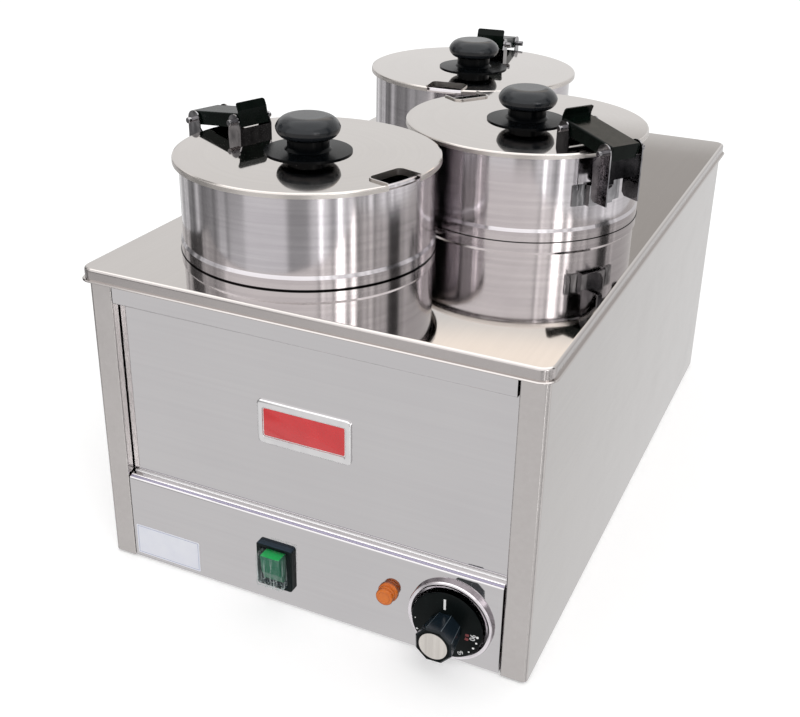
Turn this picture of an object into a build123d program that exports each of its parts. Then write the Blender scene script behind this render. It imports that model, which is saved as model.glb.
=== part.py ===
from build123d import *
import os
from math import atan2, cos, degrees, hypot, radians, sin, sqrt, tan

# Countertop food warmer: a sheet steel box with a water well, three round pots with hinged lids.
# X runs along the front, Y from the front to the back, Z up. Millimetres.

# Housing
SIDE_ROOM = 23.0
END_ROOM = 9.7
BODY_BOTTOM = 2.0
DECK_TOP = 254.0
SHEET = 1.2
CORNER_R = 4.0
POST_W = 20.0
POST_RETURN = 22.0
BEND_R = 1.6
FLOOR_FLANGE = 14.0
SEAM = 1.1

# Deck
DECK_OVER_SIDE = 2.5
DECK_OVER_END = 6.0
DECK_SKIRT = 10.0
DECK_LIP = 2.0
DECK_CORNER_R = 10.0
DECK_EDGE_R = 2.4
HOLE_GAP = 1.5
HOLE_WEB = 13.0

# Front
RAIL_BOTTOM = 226.5
PANEL_RECESS = 8.0
LEDGE_BACK_Z = 79.0
LEDGE_MID_Z = 78.5
LEDGE_FRONT_Z = 76.7
LEDGE_MID_IN = 3.6
PANEL_TUCK = 10.0

# Water well
WELL_WALL = 1.0
WELL_DEPTH = 163.0
WELL_CORNER_R = 10.0
WELL_FLANGE = 6.0
WELL_MARGIN = 3.0

# Pots
ROW_X = 57.5
ROW_MID_Y = 5.0
POT_SINK_R = 93.5
POT_STEP = 3.0
POT_WALL = 1.0
POT_SINK = 130.0
POT_FOOT_R = 10.0
BEAD_OUT = 1.5
BEAD_H = 8.0
BEAD_SLOPE = 2.5
RIM_OUT = 1.6
RIM_H = 3.8
REST_GAP = 0.3

# Lids
LID_TOP = 327.0
LID_SHEET = 1.0
LID_OVERHANG = 4.7
LID_EDGE = 4.2
LID_EDGE_R = 1.2
LID_EDGE_WALL = 0.9
LID_RING_DROP = 3.0
LID_RING_WALL = 1.0
LID_RING_GAP = 2.0
NOTCH_W = 33.0
NOTCH_REACH = 17.5
NOTCH_CORNER_R = 5.0
NOTCH_WALL = 1.2
NOTCH_RISE = 1.3

# Lid knobs
GUARD_R = 33.5
GUARD_T = 1.8
NECK_R = 16.0
NECK_TOP = 10.5
CAP_R = 24.6
CAP_MID = 19.1
CAP_TOP = 27.5

# Hinge sets
HINGE_ANGLES = {"front": 162.0, "right": -34.0, "rear": 96.0}
PIN_R = 2.5
PRESS_GAP = 0.02
RUN_GAP = 0.08
INNER_PIN_X = 68.0
INNER_PIN_Z = 338.3
INNER_PIN_L = 42.0
OUTER_PIN_OUT = 21.5
OUTER_PIN_Z = 331.0
OUTER_PIN_L = 45.0
ARM_W = 28.0
ARM_SHEET = 1.5
ARM_ABOVE = 6.6
ARM_BELOW = 4.4
ARM_INNER_END = 6.0
ARM_OUTER_END = 4.6
ARM_TAIL_DROP = 5.4
TAB_H = 8.0
TAB_BAND = 6.0
TAB_LEAN = 16.0
TAB_CORNER_R = 2.0
BRACKET_SHEET = 1.2
BRACKET_SIDE_GAP = 0.6
BRACKET_EAR_R = 6.0
BRACKET_WEB_H = 7.0
BRACKET_WEB_IN = 8.0
CLEVIS_SHEET = 1.2
CLEVIS_SIDE_GAP = 1.1
CLEVIS_EAR_R = 7.2
CLEVIS_WEB_OUT = 10.5
CLEVIS_WEB_TOP = 321.5
CLEVIS_WEB_BOTTOM = 304.4
CLEVIS_FOOT_Z = 290.5
TONGUE_W = 10.0
TONGUE_REACH = 14.0
STRAP_TOP = 300.0
STRAP_H = 17.0
STRAP_SHEET = 1.2
STRAP_HALF = 12.0
STRAP_FOOT = 12.0
SLOT_GAP = 1.0

# Controls
CONTROL_Z = 38.4
DIAL_X = 119.7
BEZEL_R = 32.4
BEZEL_H = 4.2
BEZEL_RIM = 1.6
BEZEL_FLARE = 2.6
BEZEL_TUCK = 2.4
DISC_R = 27.0
DISC_BACK_GAP = 0.6
DISC_EDGE_H = 8.4
DISC_EDGE_T = 1.2
DISC_CROWN_H = 10.6
GRIP_SIDES = 8
GRIP_BASE_R = 12.4
GRIP_FRONT_R = 14.6
GRIP_NOSE_H = 31.4
GRIP_NOSE_R = 13.4
GRIP_H = 32.6
GRIP_TURN = 25.0
GRIP_BEVEL = 0.35
DIAL_CAP_R = 10.6
DIAL_CAP_SINK = 0.8
SPINDLE_R = 3.0
THERMO_W = 38.0
THERMO_DEPTH = 24.0
THERMO_GAP = 1.0
BULB_R = 3.2
BULB_L = 90.0
BULB_Y = -120.0
CAPILLARY_R = 0.9
SWITCH_X = -24.2
SWITCH_Z = 36.9
SWITCH_W = 30.6
SWITCH_H = 38.2
SWITCH_OUT = 4.0
SWITCH_CORNER_R = 2.5
SWITCH_BODY_WALL = 1.6
SWITCH_BODY_DEPTH = 26.0
SWITCH_FLOOR = 9.0
ROCKER_TILT = 6.5
ROCKER_PIVOT = 2.0
ROCKER_GAP = 0.45
ROCKER_TAPER = 2.6
ROCKER_BACK = 4.0
LENS_W = 22.0
LENS_H = 28.3
LENS_FACE = 10.3
LENS_BEVEL = 0.8
CORE_W = 16.0
CORE_TOP = 12.6
CORE_FACE = 8.3
CORE_MID_FACE = 6.4
CORE_MID_DROP = 3.2
CORE_LOW_FACE = 2.2
PILOT_X = 70.1
PILOT_Z = 44.5
PILOT_FLANGE_R = 7.8
PILOT_FLANGE_H = 2.4
PILOT_R = 6.8
PILOT_OUT = 8.0
PILOT_BODY_R = 5.6
PILOT_BODY_DEPTH = 24.0

# Under the well
ELEMENT_R = 4.0
ELEMENT_W = 210.0
ELEMENT_LANE = 60.0
ELEMENT_FRONT_ROOM = 45.3
ELEMENT_BACK_ROOM = 55.3
CLAMP_W = 14.0
CLAMP_Y = 140.0
CLAMP_SHEET = 1.2
FOOT_R = 11.0
FOOT_IN_X = 30.0
FOOT_IN_Y = 32.0
VENT_L = 46.0
VENT_W = 5.0
VENT_COUNT = 7
VENT_PITCH = 14.0
VENT_X = 75.0
VENT_Y = 110.0
TERMINAL_X = -100.0
TERMINAL_IN = 55.0
TERMINAL_L = 44.0
TERMINAL_W = 22.0
TERMINAL_H = 18.0
TERMINAL_WAYS = 3
GLAND_X = -120.0
GLAND_Z = 42.0
GLAND_R = 12.0
GLAND_BORE_R = 4.5
GLAND_HEX_H = 6.0
GLAND_TAIL = 19.0
GLAND_NUT_H = 5.0

# Derived places
HOLE_R = POT_SINK_R + HOLE_GAP
POT_R = POT_SINK_R + POT_STEP
LID_R = POT_R + LID_OVERHANG
NOTCH_IN_R = POT_R - NOTCH_REACH
POT_PITCH = 2 * HOLE_R + HOLE_WEB
ROW_PITCH = sqrt(POT_PITCH ** 2 - (2 * ROW_X) ** 2)
WELL_W = 2 * (ROW_X + HOLE_R + WELL_MARGIN)
WELL_FRONT_Y = ROW_MID_Y - ROW_PITCH - HOLE_R - WELL_MARGIN
WELL_BACK_Y = ROW_MID_Y + ROW_PITCH + HOLE_R + WELL_MARGIN
BODY_W = WELL_W + 2 * SIDE_ROOM
BODY_D = 2 * (WELL_BACK_Y + END_ROOM)
DECK_W = BODY_W + 2 * DECK_OVER_SIDE
DECK_D = BODY_D + 2 * DECK_OVER_END
HALF_W = BODY_W / 2
HALF_D = BODY_D / 2
FRONT_Y = -HALF_D
BACK_Y = HALF_D
PANEL_Y = FRONT_Y + PANEL_RECESS
DECK_UNDER = DECK_TOP - SHEET
INNER_W = BODY_W - 2 * POST_W
FLOOR_Z = BODY_BOTTOM + SHEET
POTS = {
    "front": (-ROW_X, ROW_MID_Y - ROW_PITCH),
    "right": (ROW_X, ROW_MID_Y),
    "rear": (-ROW_X, ROW_MID_Y + ROW_PITCH),
}
WELL_FLOOR_Z = DECK_UNDER - WELL_DEPTH
ELEMENT_FRONT_Y = WELL_FRONT_Y + ELEMENT_FRONT_ROOM
ELEMENT_BACK_Y = WELL_BACK_Y - ELEMENT_BACK_ROOM
TERMINAL_Y = FRONT_Y + TERMINAL_IN
RIM_TOP = LID_TOP - LID_SHEET - REST_GAP
POT_SEAT = DECK_TOP + REST_GAP
OUTER_PIN_X = POT_R + OUTER_PIN_OUT
CLEVIS_WEB_X = POT_R + CLEVIS_WEB_OUT
DIAL_TIP = GRIP_H
HINGE_REACH = OUTER_PIN_X + CLEVIS_EAR_R
FRONT_REACH = HALF_D + DIAL_TIP
GLAND_REACH = HALF_D + GLAND_HEX_H + GLAND_TAIL


def rear_hinge_reach():
    """Furthest back that the rear pot's hinge goes."""
    turn = radians(HINGE_ANGLES["rear"])
    half = OUTER_PIN_L / 2
    x_part = HINGE_REACH * sin(turn)
    pin_part = OUTER_PIN_X * sin(turn) + half * abs(cos(turn))
    ear_part = x_part + (ARM_W / 2 + CLEVIS_SIDE_GAP + CLEVIS_SHEET) * abs(cos(turn))
    return POTS["rear"][1] + max(ear_part, pin_part)


# The origin is the middle of the footprint, so the whole model is moved along Y by this much.
Y_SHIFT = (FRONT_REACH - max(GLAND_REACH, rear_hinge_reach())) / 2


def box(x0, x1, y0, y1, z0, z1):
    """A box between two corners."""
    solid = Box(x1 - x0, y1 - y0, z1 - z0)
    return Pos((x0 + x1) / 2, (y0 + y1) / 2, (z0 + z1) / 2) * solid


def revolved(points):
    """A solid of revolution about Z from (radius, height) points."""
    outline = Polyline(*[(r, 0, z) for r, z in points], close=True)
    return revolve(make_face(outline), Axis.Z)


def disc(radius, z0, z1):
    """An upright cylinder between two heights."""
    return Pos(0, 0, (z0 + z1) / 2) * Cylinder(radius, z1 - z0)


def cross_pin(radius, length, x, z):
    """A pin along Y with chamfered ends."""
    pin = chamfer(Cylinder(radius, length).edges(), radius * 0.16)
    return Pos(x, 0, z) * Rot(90, 0, 0) * pin


def folded(points, radii, thickness, side):
    """The outline of a bent sheet: a line with round bends, given a thickness to one side."""
    line = FilletPolyline(*points, radius=radii)
    return make_face(offset(line, amount=thickness, side=side, closed=True))


def front_frame(x, z):
    """A frame on the front plane, with its Z axis towards the user and its Y axis up."""
    return Plane((x, FRONT_Y, z), x_dir=(1, 0, 0), z_dir=(0, -1, 0))


# Housing

def side_panel():
    """Right side panel, wrapped round both corners with returns, and a floor flange."""
    inner_x = HALF_W - POST_W
    points = [
        (inner_x, FRONT_Y + POST_RETURN),
        (inner_x, FRONT_Y),
        (HALF_W, FRONT_Y),
        (HALF_W, BACK_Y),
        (inner_x, BACK_Y),
    ]
    outline = folded(points, [BEND_R, CORNER_R, CORNER_R], SHEET, Side.LEFT)
    panel = Pos(0, 0, BODY_BOTTOM) * extrude(outline, DECK_UNDER - BODY_BOTTOM)
    flange_x = HALF_W - FLOOR_FLANGE
    flange = box(flange_x, HALF_W - SHEET / 2, FRONT_Y + POST_RETURN + 2, BACK_Y - CORNER_R, BODY_BOTTOM, FLOOR_Z)
    return panel + flange


def front_panel():
    """Top rail, a step back, the recessed panel and a flange at its foot that rests on the ledge."""
    foot_y = PANEL_Y + PANEL_TUCK
    points = [
        (FRONT_Y, DECK_UNDER),
        (FRONT_Y, RAIL_BOTTOM),
        (PANEL_Y, RAIL_BOTTOM),
        (PANEL_Y, LEDGE_BACK_Z),
        (foot_y, LEDGE_BACK_Z),
    ]
    outline = folded(points, [BEND_R, 0.6, BEND_R], SHEET, Side.LEFT)
    return across(outline, INNER_W - 2 * SEAM)


def across(outline, width):
    """Extrude an outline drawn as (Y, Z) along X, centred."""
    frame = Plane((-width / 2, 0, 0), x_dir=(0, 1, 0), z_dir=(1, 0, 0))
    return frame * extrude(outline, width)


def control_panel():
    """Lower panel with a two-faceted ledge, bent under at its foot, with its three cut-outs."""
    foot_y = FRONT_Y + PANEL_TUCK + PANEL_RECESS
    points = [
        (foot_y, LEDGE_BACK_Z),
        (PANEL_Y, LEDGE_BACK_Z),
        (FRONT_Y + LEDGE_MID_IN, LEDGE_MID_Z),
        (FRONT_Y, LEDGE_FRONT_Z),
        (FRONT_Y, BODY_BOTTOM),
        (FRONT_Y + POST_W, BODY_BOTTOM),
    ]
    outline = folded(points, [0.2, 0.8, BEND_R, BEND_R], SHEET, Side.LEFT)
    panel = across(outline, INNER_W - 2 * SEAM)
    cut = SHEET + 2
    dial_hole = front_frame(DIAL_X, CONTROL_Z) * Cylinder(SPINDLE_R + 1.5, 2 * cut)
    lamp_hole = front_frame(PILOT_X, PILOT_Z) * Cylinder(PILOT_BODY_R + 0.2, 2 * cut)
    body_w, body_h = switch_body_size()
    switch_hole = front_frame(SWITCH_X, SWITCH_Z) * Box(body_w + 0.4, body_h + 0.4, 2 * cut)
    return panel - dial_hole - lamp_hole - switch_hole


def vent_slots(length, width, count, pitch):
    """A row of upright slots, for cutting through a sheet that lies in the XY plane."""
    slot = SlotOverall(length, width, rotation=90)
    places = GridLocations(pitch, 1, count, 1)
    return extrude(Sketch() + [place * slot for place in places], 2 * SHEET, both=True)


def rear_panel():
    """Flat back sheet behind the corner posts, with two rows of vents and the cord's hole."""
    half = HALF_W - CORNER_R - SHEET
    sheet = box(-half, half, BACK_Y - 2 * SHEET, BACK_Y - SHEET, FLOOR_Z, DECK_UNDER)
    back = Plane((0, BACK_Y - 1.5 * SHEET, 0), x_dir=(-1, 0, 0), z_dir=(0, 1, 0))
    vents = vent_slots(VENT_L, VENT_W, VENT_COUNT, VENT_PITCH)
    for x in (-70, 70):
        sheet -= back * Pos(x, GLAND_Z + 10, 0) * vents
    gland_hole = back * Pos(-GLAND_X, GLAND_Z, 0) * Cylinder(GLAND_R * 0.7 + 0.2, 10)
    return sheet - gland_hole


def bottom_plate():
    """Bottom plate on the side panels' flanges, with rows of vent slots."""
    half = HALF_W - SHEET - SEAM
    front = FRONT_Y + POST_W + SEAM
    plate = box(-half, half, front + POST_RETURN - POST_W, BACK_Y - 2 * SHEET - SEAM, FLOOR_Z, FLOOR_Z + SHEET)
    vents = vent_slots(VENT_L, VENT_W, VENT_COUNT, VENT_PITCH)
    for y in (-VENT_Y, VENT_Y):
        for x in (-VENT_X, VENT_X):
            plate -= Pos(x, y, FLOOR_Z + SHEET / 2) * vents
    return plate


def feet():
    """Four rubber pads under the bottom plate, a little proud of the panels."""
    x = HALF_W - FOOT_IN_X
    y = HALF_D - FOOT_IN_Y
    pad = chamfer(Cylinder(FOOT_R, FLOOR_Z).edges().group_by(Axis.Z)[0], 0.8)
    pads = [Pos(sx * x, sy * y, FLOOR_Z / 2) * pad for sx in (-1, 1) for sy in (-1, 1)]
    return Compound(children=pads)


def top_deck():
    """Polished deck with a turned-down skirt, a flared lip and three pot holes."""
    height = DECK_SKIRT
    outer = extrude(RectangleRounded(DECK_W, DECK_D, DECK_CORNER_R), height)
    outer = fillet(outer.edges().group_by(Axis.Z)[-1], DECK_EDGE_R)
    inner_size = (DECK_W - 2 * SHEET, DECK_D - 2 * SHEET, DECK_CORNER_R - SHEET)
    inner = extrude(RectangleRounded(*inner_size), height - SHEET)
    lip_out = RectangleRounded(DECK_W + 2 * DECK_LIP, DECK_D + 2 * DECK_LIP, DECK_CORNER_R + DECK_LIP)
    lip = extrude(lip_out, SHEET)
    lip = chamfer(lip.edges().group_by(Axis.Z)[-1], SHEET * 0.6)
    deck = Pos(0, 0, DECK_TOP - height) * (outer + lip - inner)
    for x, y in POTS.values():
        deck -= Pos(x, y, DECK_TOP) * Cylinder(HOLE_R, 4 * SHEET)
    return deck


# Water well and heating

def water_well():
    """Open rectangular tank hung under the deck by its flange."""
    length = WELL_BACK_Y - WELL_FRONT_Y
    mid_y = (WELL_BACK_Y + WELL_FRONT_Y) / 2
    inner = RectangleRounded(WELL_W, length, WELL_CORNER_R)
    outer = RectangleRounded(WELL_W + 2 * WELL_WALL, length + 2 * WELL_WALL, WELL_CORNER_R + WELL_WALL)
    brim = RectangleRounded(WELL_W + 2 * WELL_FLANGE, length + 2 * WELL_FLANGE, WELL_CORNER_R + WELL_FLANGE)
    tank = extrude(outer, WELL_DEPTH + WELL_WALL)
    tank += Pos(0, 0, WELL_DEPTH) * extrude(brim, WELL_WALL)
    tank -= Pos(0, 0, WELL_WALL) * extrude(inner, WELL_DEPTH)
    return Pos(0, mid_y, WELL_FLOOR_Z - WELL_WALL) * tank


def element_points():
    """Middle line of the heating tube: out, back and forth in four lanes, and home."""
    lane = ELEMENT_LANE
    z = WELL_FLOOR_Z - WELL_WALL - REST_GAP - ELEMENT_R
    lanes = [-1.5 * lane, -0.5 * lane, 0.5 * lane, 1.5 * lane]
    points = []
    for index, x in enumerate(lanes):
        ends = [ELEMENT_FRONT_Y, ELEMENT_BACK_Y]
        if index % 2:
            ends.reverse()
        points += [(x, y, z) for y in ends]
    return points


def heating_element():
    """Sheathed heating tube in a serpentine under the well floor."""
    path = FilletPolyline(*element_points(), radius=ELEMENT_LANE * 0.45)
    start = Plane(path @ 0, z_dir=path % 0)
    return sweep(start * Circle(ELEMENT_R), path)


def element_clamps():
    """Saddle clamps that hold the tube's lanes to the well floor."""
    top = WELL_FLOOR_Z - WELL_WALL
    drop = REST_GAP + 2 * ELEMENT_R + REST_GAP
    half = ELEMENT_R + REST_GAP
    lanes = [-1.5, -0.5, 0.5, 1.5]
    clamps = []
    for y in (-CLAMP_Y, CLAMP_Y):
        for lane in lanes:
            saddle = box(-half - CLAMP_SHEET, half + CLAMP_SHEET, -CLAMP_W / 2, CLAMP_W / 2, -drop - CLAMP_SHEET, 0)
            saddle -= box(-half, half, -CLAMP_W, CLAMP_W, -drop, 1)
            for side in (-1, 1):
                x0 = side * (half + CLAMP_SHEET)
                x1 = x0 + side * CLAMP_W * 0.6
                saddle += box(min(x0, x1), max(x0, x1), -CLAMP_W / 2, CLAMP_W / 2, -CLAMP_SHEET, 0)
            clamps.append(Pos(lane * ELEMENT_LANE, y, top) * saddle)
    return Compound(children=clamps)


def thermostat_body():
    """Capillary thermostat behind the control panel, with a stepped case and two tabs."""
    depth = THERMO_DEPTH
    case = extrude(RectangleRounded(THERMO_W, THERMO_W, 3), depth)
    neck = Pos(0, 0, -SHEET / 2) * Cylinder(SPINDLE_R + 1.2, SHEET)
    block = Pos(0, 0, depth) * Box(THERMO_W * 0.7, THERMO_W * 0.6, 8)
    tabs = [Pos(x, 6, depth + 7) * Box(6.3, 0.8, 10) for x in (-8, 8)]
    body = case + neck + block + tabs - Cylinder(SPINDLE_R + RUN_GAP, 20)
    inwards = Plane((DIAL_X, FRONT_Y + SHEET, CONTROL_Z), x_dir=(-1, 0, 0), z_dir=(0, 1, 0))
    return inwards * body


def thermostat_bulb():
    """Sensing bulb clipped under the well, with its capillary to the thermostat."""
    z = WELL_FLOOR_Z - WELL_WALL - REST_GAP - BULB_R
    start_y = FRONT_Y + SHEET + THERMO_DEPTH
    bulb = Pos(DIAL_X, BULB_Y + BULB_L / 2, z) * Rot(90, 0, 0) * Cylinder(BULB_R, BULB_L)
    low_z = CONTROL_Z + THERMO_W / 2 - 5
    points = [
        (DIAL_X, start_y, low_z),
        (DIAL_X, start_y + 40, low_z),
        (DIAL_X, BULB_Y - 30, z),
        (DIAL_X, BULB_Y, z),
    ]
    path = FilletPolyline(*points, radius=20)
    tube = sweep(Plane(path @ 0, z_dir=path % 0) * Circle(CAPILLARY_R), path)
    return bulb + tube


def terminal_block():
    """Ceramic terminal block on the bottom plate, one well to each way."""
    block = Box(TERMINAL_L, TERMINAL_W, TERMINAL_H)
    step = TERMINAL_L / TERMINAL_WAYS
    for way in range(TERMINAL_WAYS):
        x = (way - (TERMINAL_WAYS - 1) / 2) * step
        block -= Pos(x, 0, TERMINAL_H / 2 - 3) * Box(step * 0.7, TERMINAL_W * 0.8, 6.1)
    return Pos(TERMINAL_X, TERMINAL_Y, FLOOR_Z + SHEET + TERMINAL_H / 2) * block


def cable_gland():
    """Cable gland in the back: hexagon, slotted dome and an inner lock nut."""
    hexagon = extrude(RegularPolygon(GLAND_R, 6), GLAND_HEX_H)
    collar = Pos(0, 0, GLAND_HEX_H) * Cylinder(GLAND_R * 0.8, 2, align=(Align.CENTER, Align.CENTER, Align.MIN))
    tail = Pos(0, 0, GLAND_HEX_H) * Cone(
        GLAND_R * 0.74, GLAND_BORE_R + 1.6, GLAND_TAIL, align=(Align.CENTER, Align.CENTER, Align.MIN)
    )
    thread = Pos(0, 0, -2 * SHEET - GLAND_NUT_H) * Cylinder(
        GLAND_R * 0.7, 2 * SHEET + GLAND_NUT_H, align=(Align.CENTER, Align.CENTER, Align.MIN)
    )
    nut = Pos(0, 0, -2 * SHEET - GLAND_NUT_H) * extrude(RegularPolygon(GLAND_R, 6), GLAND_NUT_H)
    gland = hexagon + collar + tail + thread + nut - Cylinder(GLAND_BORE_R, 4 * GLAND_TAIL)
    outwards = Plane((GLAND_X, BACK_Y, GLAND_Z), x_dir=(-1, 0, 0), z_dir=(0, 1, 0))
    return outwards * gland


# Controls

def dial_bezel():
    """Chrome ring that flares out to a rounded rim and dishes down to the part that the dial covers."""
    inner = DISC_R - BEZEL_TUCK
    crest = BEZEL_R - BEZEL_RIM
    ring = revolved([
        (inner, 0),
        (BEZEL_R - BEZEL_FLARE, 0),
        (BEZEL_R - 0.2, BEZEL_H * 0.62),
        (BEZEL_R, BEZEL_H * 0.72),
        (BEZEL_R - 0.5, BEZEL_H * 0.93),
        (crest, BEZEL_H),
        (crest - 1.2, BEZEL_H * 0.93),
        ((crest + inner) / 2, BEZEL_H * 0.66),
        (inner, BEZEL_H * 0.5),
    ])
    return front_frame(DIAL_X, CONTROL_Z) * ring


def dial_knob():
    """Dial: domed numbered skirt, eight-sided grip that widens to its nose, seat for the cap."""
    back = DISC_EDGE_H - DISC_EDGE_T
    skirt = revolved([
        (0, BEZEL_H + DISC_BACK_GAP),
        (GRIP_BASE_R, BEZEL_H + DISC_BACK_GAP),
        (DISC_R - 1.2, back),
        (DISC_R, back + 0.4),
        (DISC_R, DISC_EDGE_H - 0.4),
        (DISC_R - 0.8, DISC_EDGE_H),
        (GRIP_BASE_R, DISC_CROWN_H),
        (0, DISC_CROWN_H),
    ])
    base = Pos(0, 0, DISC_CROWN_H - 0.2) * RegularPolygon(GRIP_BASE_R, GRIP_SIDES)
    front = Pos(0, 0, GRIP_NOSE_H) * RegularPolygon(GRIP_FRONT_R, GRIP_SIDES)
    nose = Pos(0, 0, GRIP_H) * RegularPolygon(GRIP_NOSE_R, GRIP_SIDES)
    stem = loft(Sketch() + [base, front])
    corners = [edge for edge in stem.edges() if abs((edge @ 1 - edge @ 0).Z) > 1]
    grip = chamfer(corners, GRIP_BEVEL) + loft(Sketch() + [front, nose])
    seat = Pos(0, 0, GRIP_H) * Cylinder(DIAL_CAP_R + PRESS_GAP, 2 * DIAL_CAP_SINK)
    bore = Cylinder(SPINDLE_R + PRESS_GAP, 2 * spindle_out())
    knob = skirt + Rot(0, 0, GRIP_TURN) * grip - seat - bore
    return front_frame(DIAL_X, CONTROL_Z) * knob


def spindle_out():
    """How far the spindle stands out of the panel, inside the dial."""
    return DISC_CROWN_H + 9


def dial_cap():
    """Bright disc let into the nose of the dial."""
    cap = Cylinder(DIAL_CAP_R, DIAL_CAP_SINK, align=(Align.CENTER, Align.CENTER, Align.MAX))
    return front_frame(DIAL_X, CONTROL_Z) * Pos(0, 0, GRIP_H) * cap


def dial_spindle():
    """Spindle from inside the thermostat to the dial."""
    inner_end = SHEET + 9.5
    rod = Cylinder(SPINDLE_R, inner_end + spindle_out(), align=(Align.CENTER, Align.CENTER, Align.MIN))
    return front_frame(DIAL_X, CONTROL_Z) * Pos(0, 0, -inner_end) * rod


def window_size():
    """Width and height of the switch window: the rocker, its swing and a gap."""
    swing = LENS_FACE * sin(radians(ROCKER_TILT))
    return LENS_W + 2 * ROCKER_GAP, LENS_H + 2 * swing + 2 * ROCKER_GAP


def switch_body_size():
    """Width and height of the contact case behind the panel."""
    width, height = window_size()
    return width + 2 * SWITCH_BODY_WALL, height + 2 * SWITCH_BODY_WALL


def switch_housing():
    """Switch block: a frame in front of the panel and a contact case behind it."""
    width, height = window_size()
    body_w, body_h = switch_body_size()
    frame = extrude(RectangleRounded(SWITCH_W, SWITCH_H, SWITCH_CORNER_R), SWITCH_OUT)
    frame = chamfer(frame.edges().group_by(Axis.Z)[-1], 0.7)
    case = Box(body_w, body_h, SWITCH_BODY_DEPTH, align=(Align.CENTER, Align.CENTER, Align.MAX))
    tabs = [Pos(x, y, -SWITCH_BODY_DEPTH - 4) * Box(6.3, 0.8, 9) for x in (-6, 6) for y in (-8, 8)]
    window = Pos(0, 0, SWITCH_OUT) * Box(width, height, 2 * (SWITCH_OUT + SWITCH_FLOOR))
    return front_frame(SWITCH_X, SWITCH_Z) * (frame + case + tabs - window)


def rocker_prism(width, points):
    """A side outline of (height, distance out) points from the pivot, drawn out to a width."""
    side = Plane.YZ * make_face(Polyline(*points, close=True))
    middle = Pos(-width / 2, 0, 0) * extrude(side, width)
    return front_frame(SWITCH_X, SWITCH_Z) * Pos(0, 0, ROCKER_PIVOT) * middle


def switch_rocker():
    """Lit core of the rocker, tipped to the on side: its upper face out, its lower face in."""
    low = CORE_TOP - 1
    return rocker_prism(CORE_W, [
        (CORE_TOP, -ROCKER_BACK + 1),
        (CORE_TOP, CORE_FACE),
        (-CORE_MID_DROP, CORE_MID_FACE),
        (-low, CORE_LOW_FACE),
        (-low, -ROCKER_BACK + 1),
    ])


def switch_lens():
    """Clear block round the rocker's core."""
    half = LENS_H / 2
    block = rocker_prism(LENS_W, [
        (half, 0),
        (half, LENS_FACE - LENS_BEVEL),
        (half - LENS_BEVEL, LENS_FACE),
        (-half + LENS_BEVEL, LENS_FACE),
        (-half, LENS_FACE - LENS_BEVEL),
        (-half, 0),
        (-half + ROCKER_TAPER, -ROCKER_BACK),
        (half - ROCKER_TAPER, -ROCKER_BACK),
    ])
    return block - switch_rocker()


def pilot_lens():
    """Amber lamp lens: a flange on the panel and a stepped stub."""
    lens = revolved([
        (0, 0),
        (PILOT_FLANGE_R, 0),
        (PILOT_FLANGE_R, PILOT_FLANGE_H - 0.6),
        (PILOT_FLANGE_R - 0.6, PILOT_FLANGE_H),
        (PILOT_R, PILOT_FLANGE_H),
        (PILOT_R, PILOT_OUT - 0.8),
        (PILOT_R - 0.3, PILOT_OUT - 0.3),
        (PILOT_R - 1.2, PILOT_OUT),
        (0, PILOT_OUT),
    ])
    return front_frame(PILOT_X, PILOT_Z) * lens


def pilot_body():
    """Lamp body behind the lens with two tabs."""
    body = Cylinder(PILOT_BODY_R, PILOT_BODY_DEPTH, align=(Align.CENTER, Align.CENTER, Align.MAX))
    tabs = [Pos(x, 0, -PILOT_BODY_DEPTH - 3) * Box(0.8, 4.8, 8) for x in (-3, 3)]
    return front_frame(PILOT_X, PILOT_Z) * (body + tabs)


# Pots and lids, drawn with the pot's axis on Z and the hinge towards +X

def pot():
    """Round pot: rolled rim, straight wall, a bead that sits on the deck and a sunk body."""
    bottom = DECK_TOP - POT_SINK
    outer = POT_R + BEAD_OUT
    seat = POT_SEAT
    bead_top = seat + BEAD_H
    rim_low = RIM_TOP - RIM_H
    rim = POT_R + RIM_OUT
    inner = POT_R - POT_WALL
    sunk = POT_SINK_R - POT_WALL
    shell = [
        (0, bottom),
        (POT_SINK_R - POT_FOOT_R, bottom),
        (POT_SINK_R - POT_FOOT_R * 0.3, bottom + POT_FOOT_R * 0.3),
        (POT_SINK_R, bottom + POT_FOOT_R),
        (POT_SINK_R, seat),
        (outer, seat),
        (outer, bead_top),
        (POT_R, bead_top + BEAD_SLOPE),
        (POT_R, rim_low),
        (rim - 0.5, rim_low),
        (rim, rim_low + RIM_H * 0.4),
        (rim - 0.5, RIM_TOP - 0.4),
        (rim - RIM_H * 0.4, RIM_TOP),
        (inner, RIM_TOP),
        (inner, bead_top + BEAD_SLOPE),
        (outer - POT_WALL, bead_top),
        (outer - POT_WALL, seat + POT_WALL),
        (sunk, seat + POT_WALL),
        (sunk, bottom + POT_FOOT_R),
        (sunk - POT_FOOT_R * 0.3, bottom + POT_WALL + POT_FOOT_R * 0.25),
        (sunk - POT_FOOT_R, bottom + POT_WALL),
        (0, bottom + POT_WALL),
    ]
    return revolved(shell)


def strap():
    """Hat-shaped strap on the pot's wall that takes the hinge's tongue."""
    low = STRAP_TOP - STRAP_H
    wall = POT_R
    reach = CLEVIS_SHEET + SLOT_GAP * 2 + STRAP_SHEET
    foot_half = STRAP_HALF + STRAP_FOOT
    ring = disc(wall + STRAP_SHEET, low, STRAP_TOP) - disc(wall, low - 1, STRAP_TOP + 1)
    front = wall + reach
    limits = box(wall * 0.8, front + 10, -foot_half, foot_half, low, STRAP_TOP)
    bridge = box(wall * 0.9, front, -STRAP_HALF, STRAP_HALF, low, STRAP_TOP)
    tunnel_half = STRAP_HALF - STRAP_SHEET
    tunnel = box(wall * 0.9, front - STRAP_SHEET, -tunnel_half, tunnel_half, low, STRAP_TOP)
    hat = (ring & limits) + bridge
    return hat - tunnel - disc(wall, low, STRAP_TOP)


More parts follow.
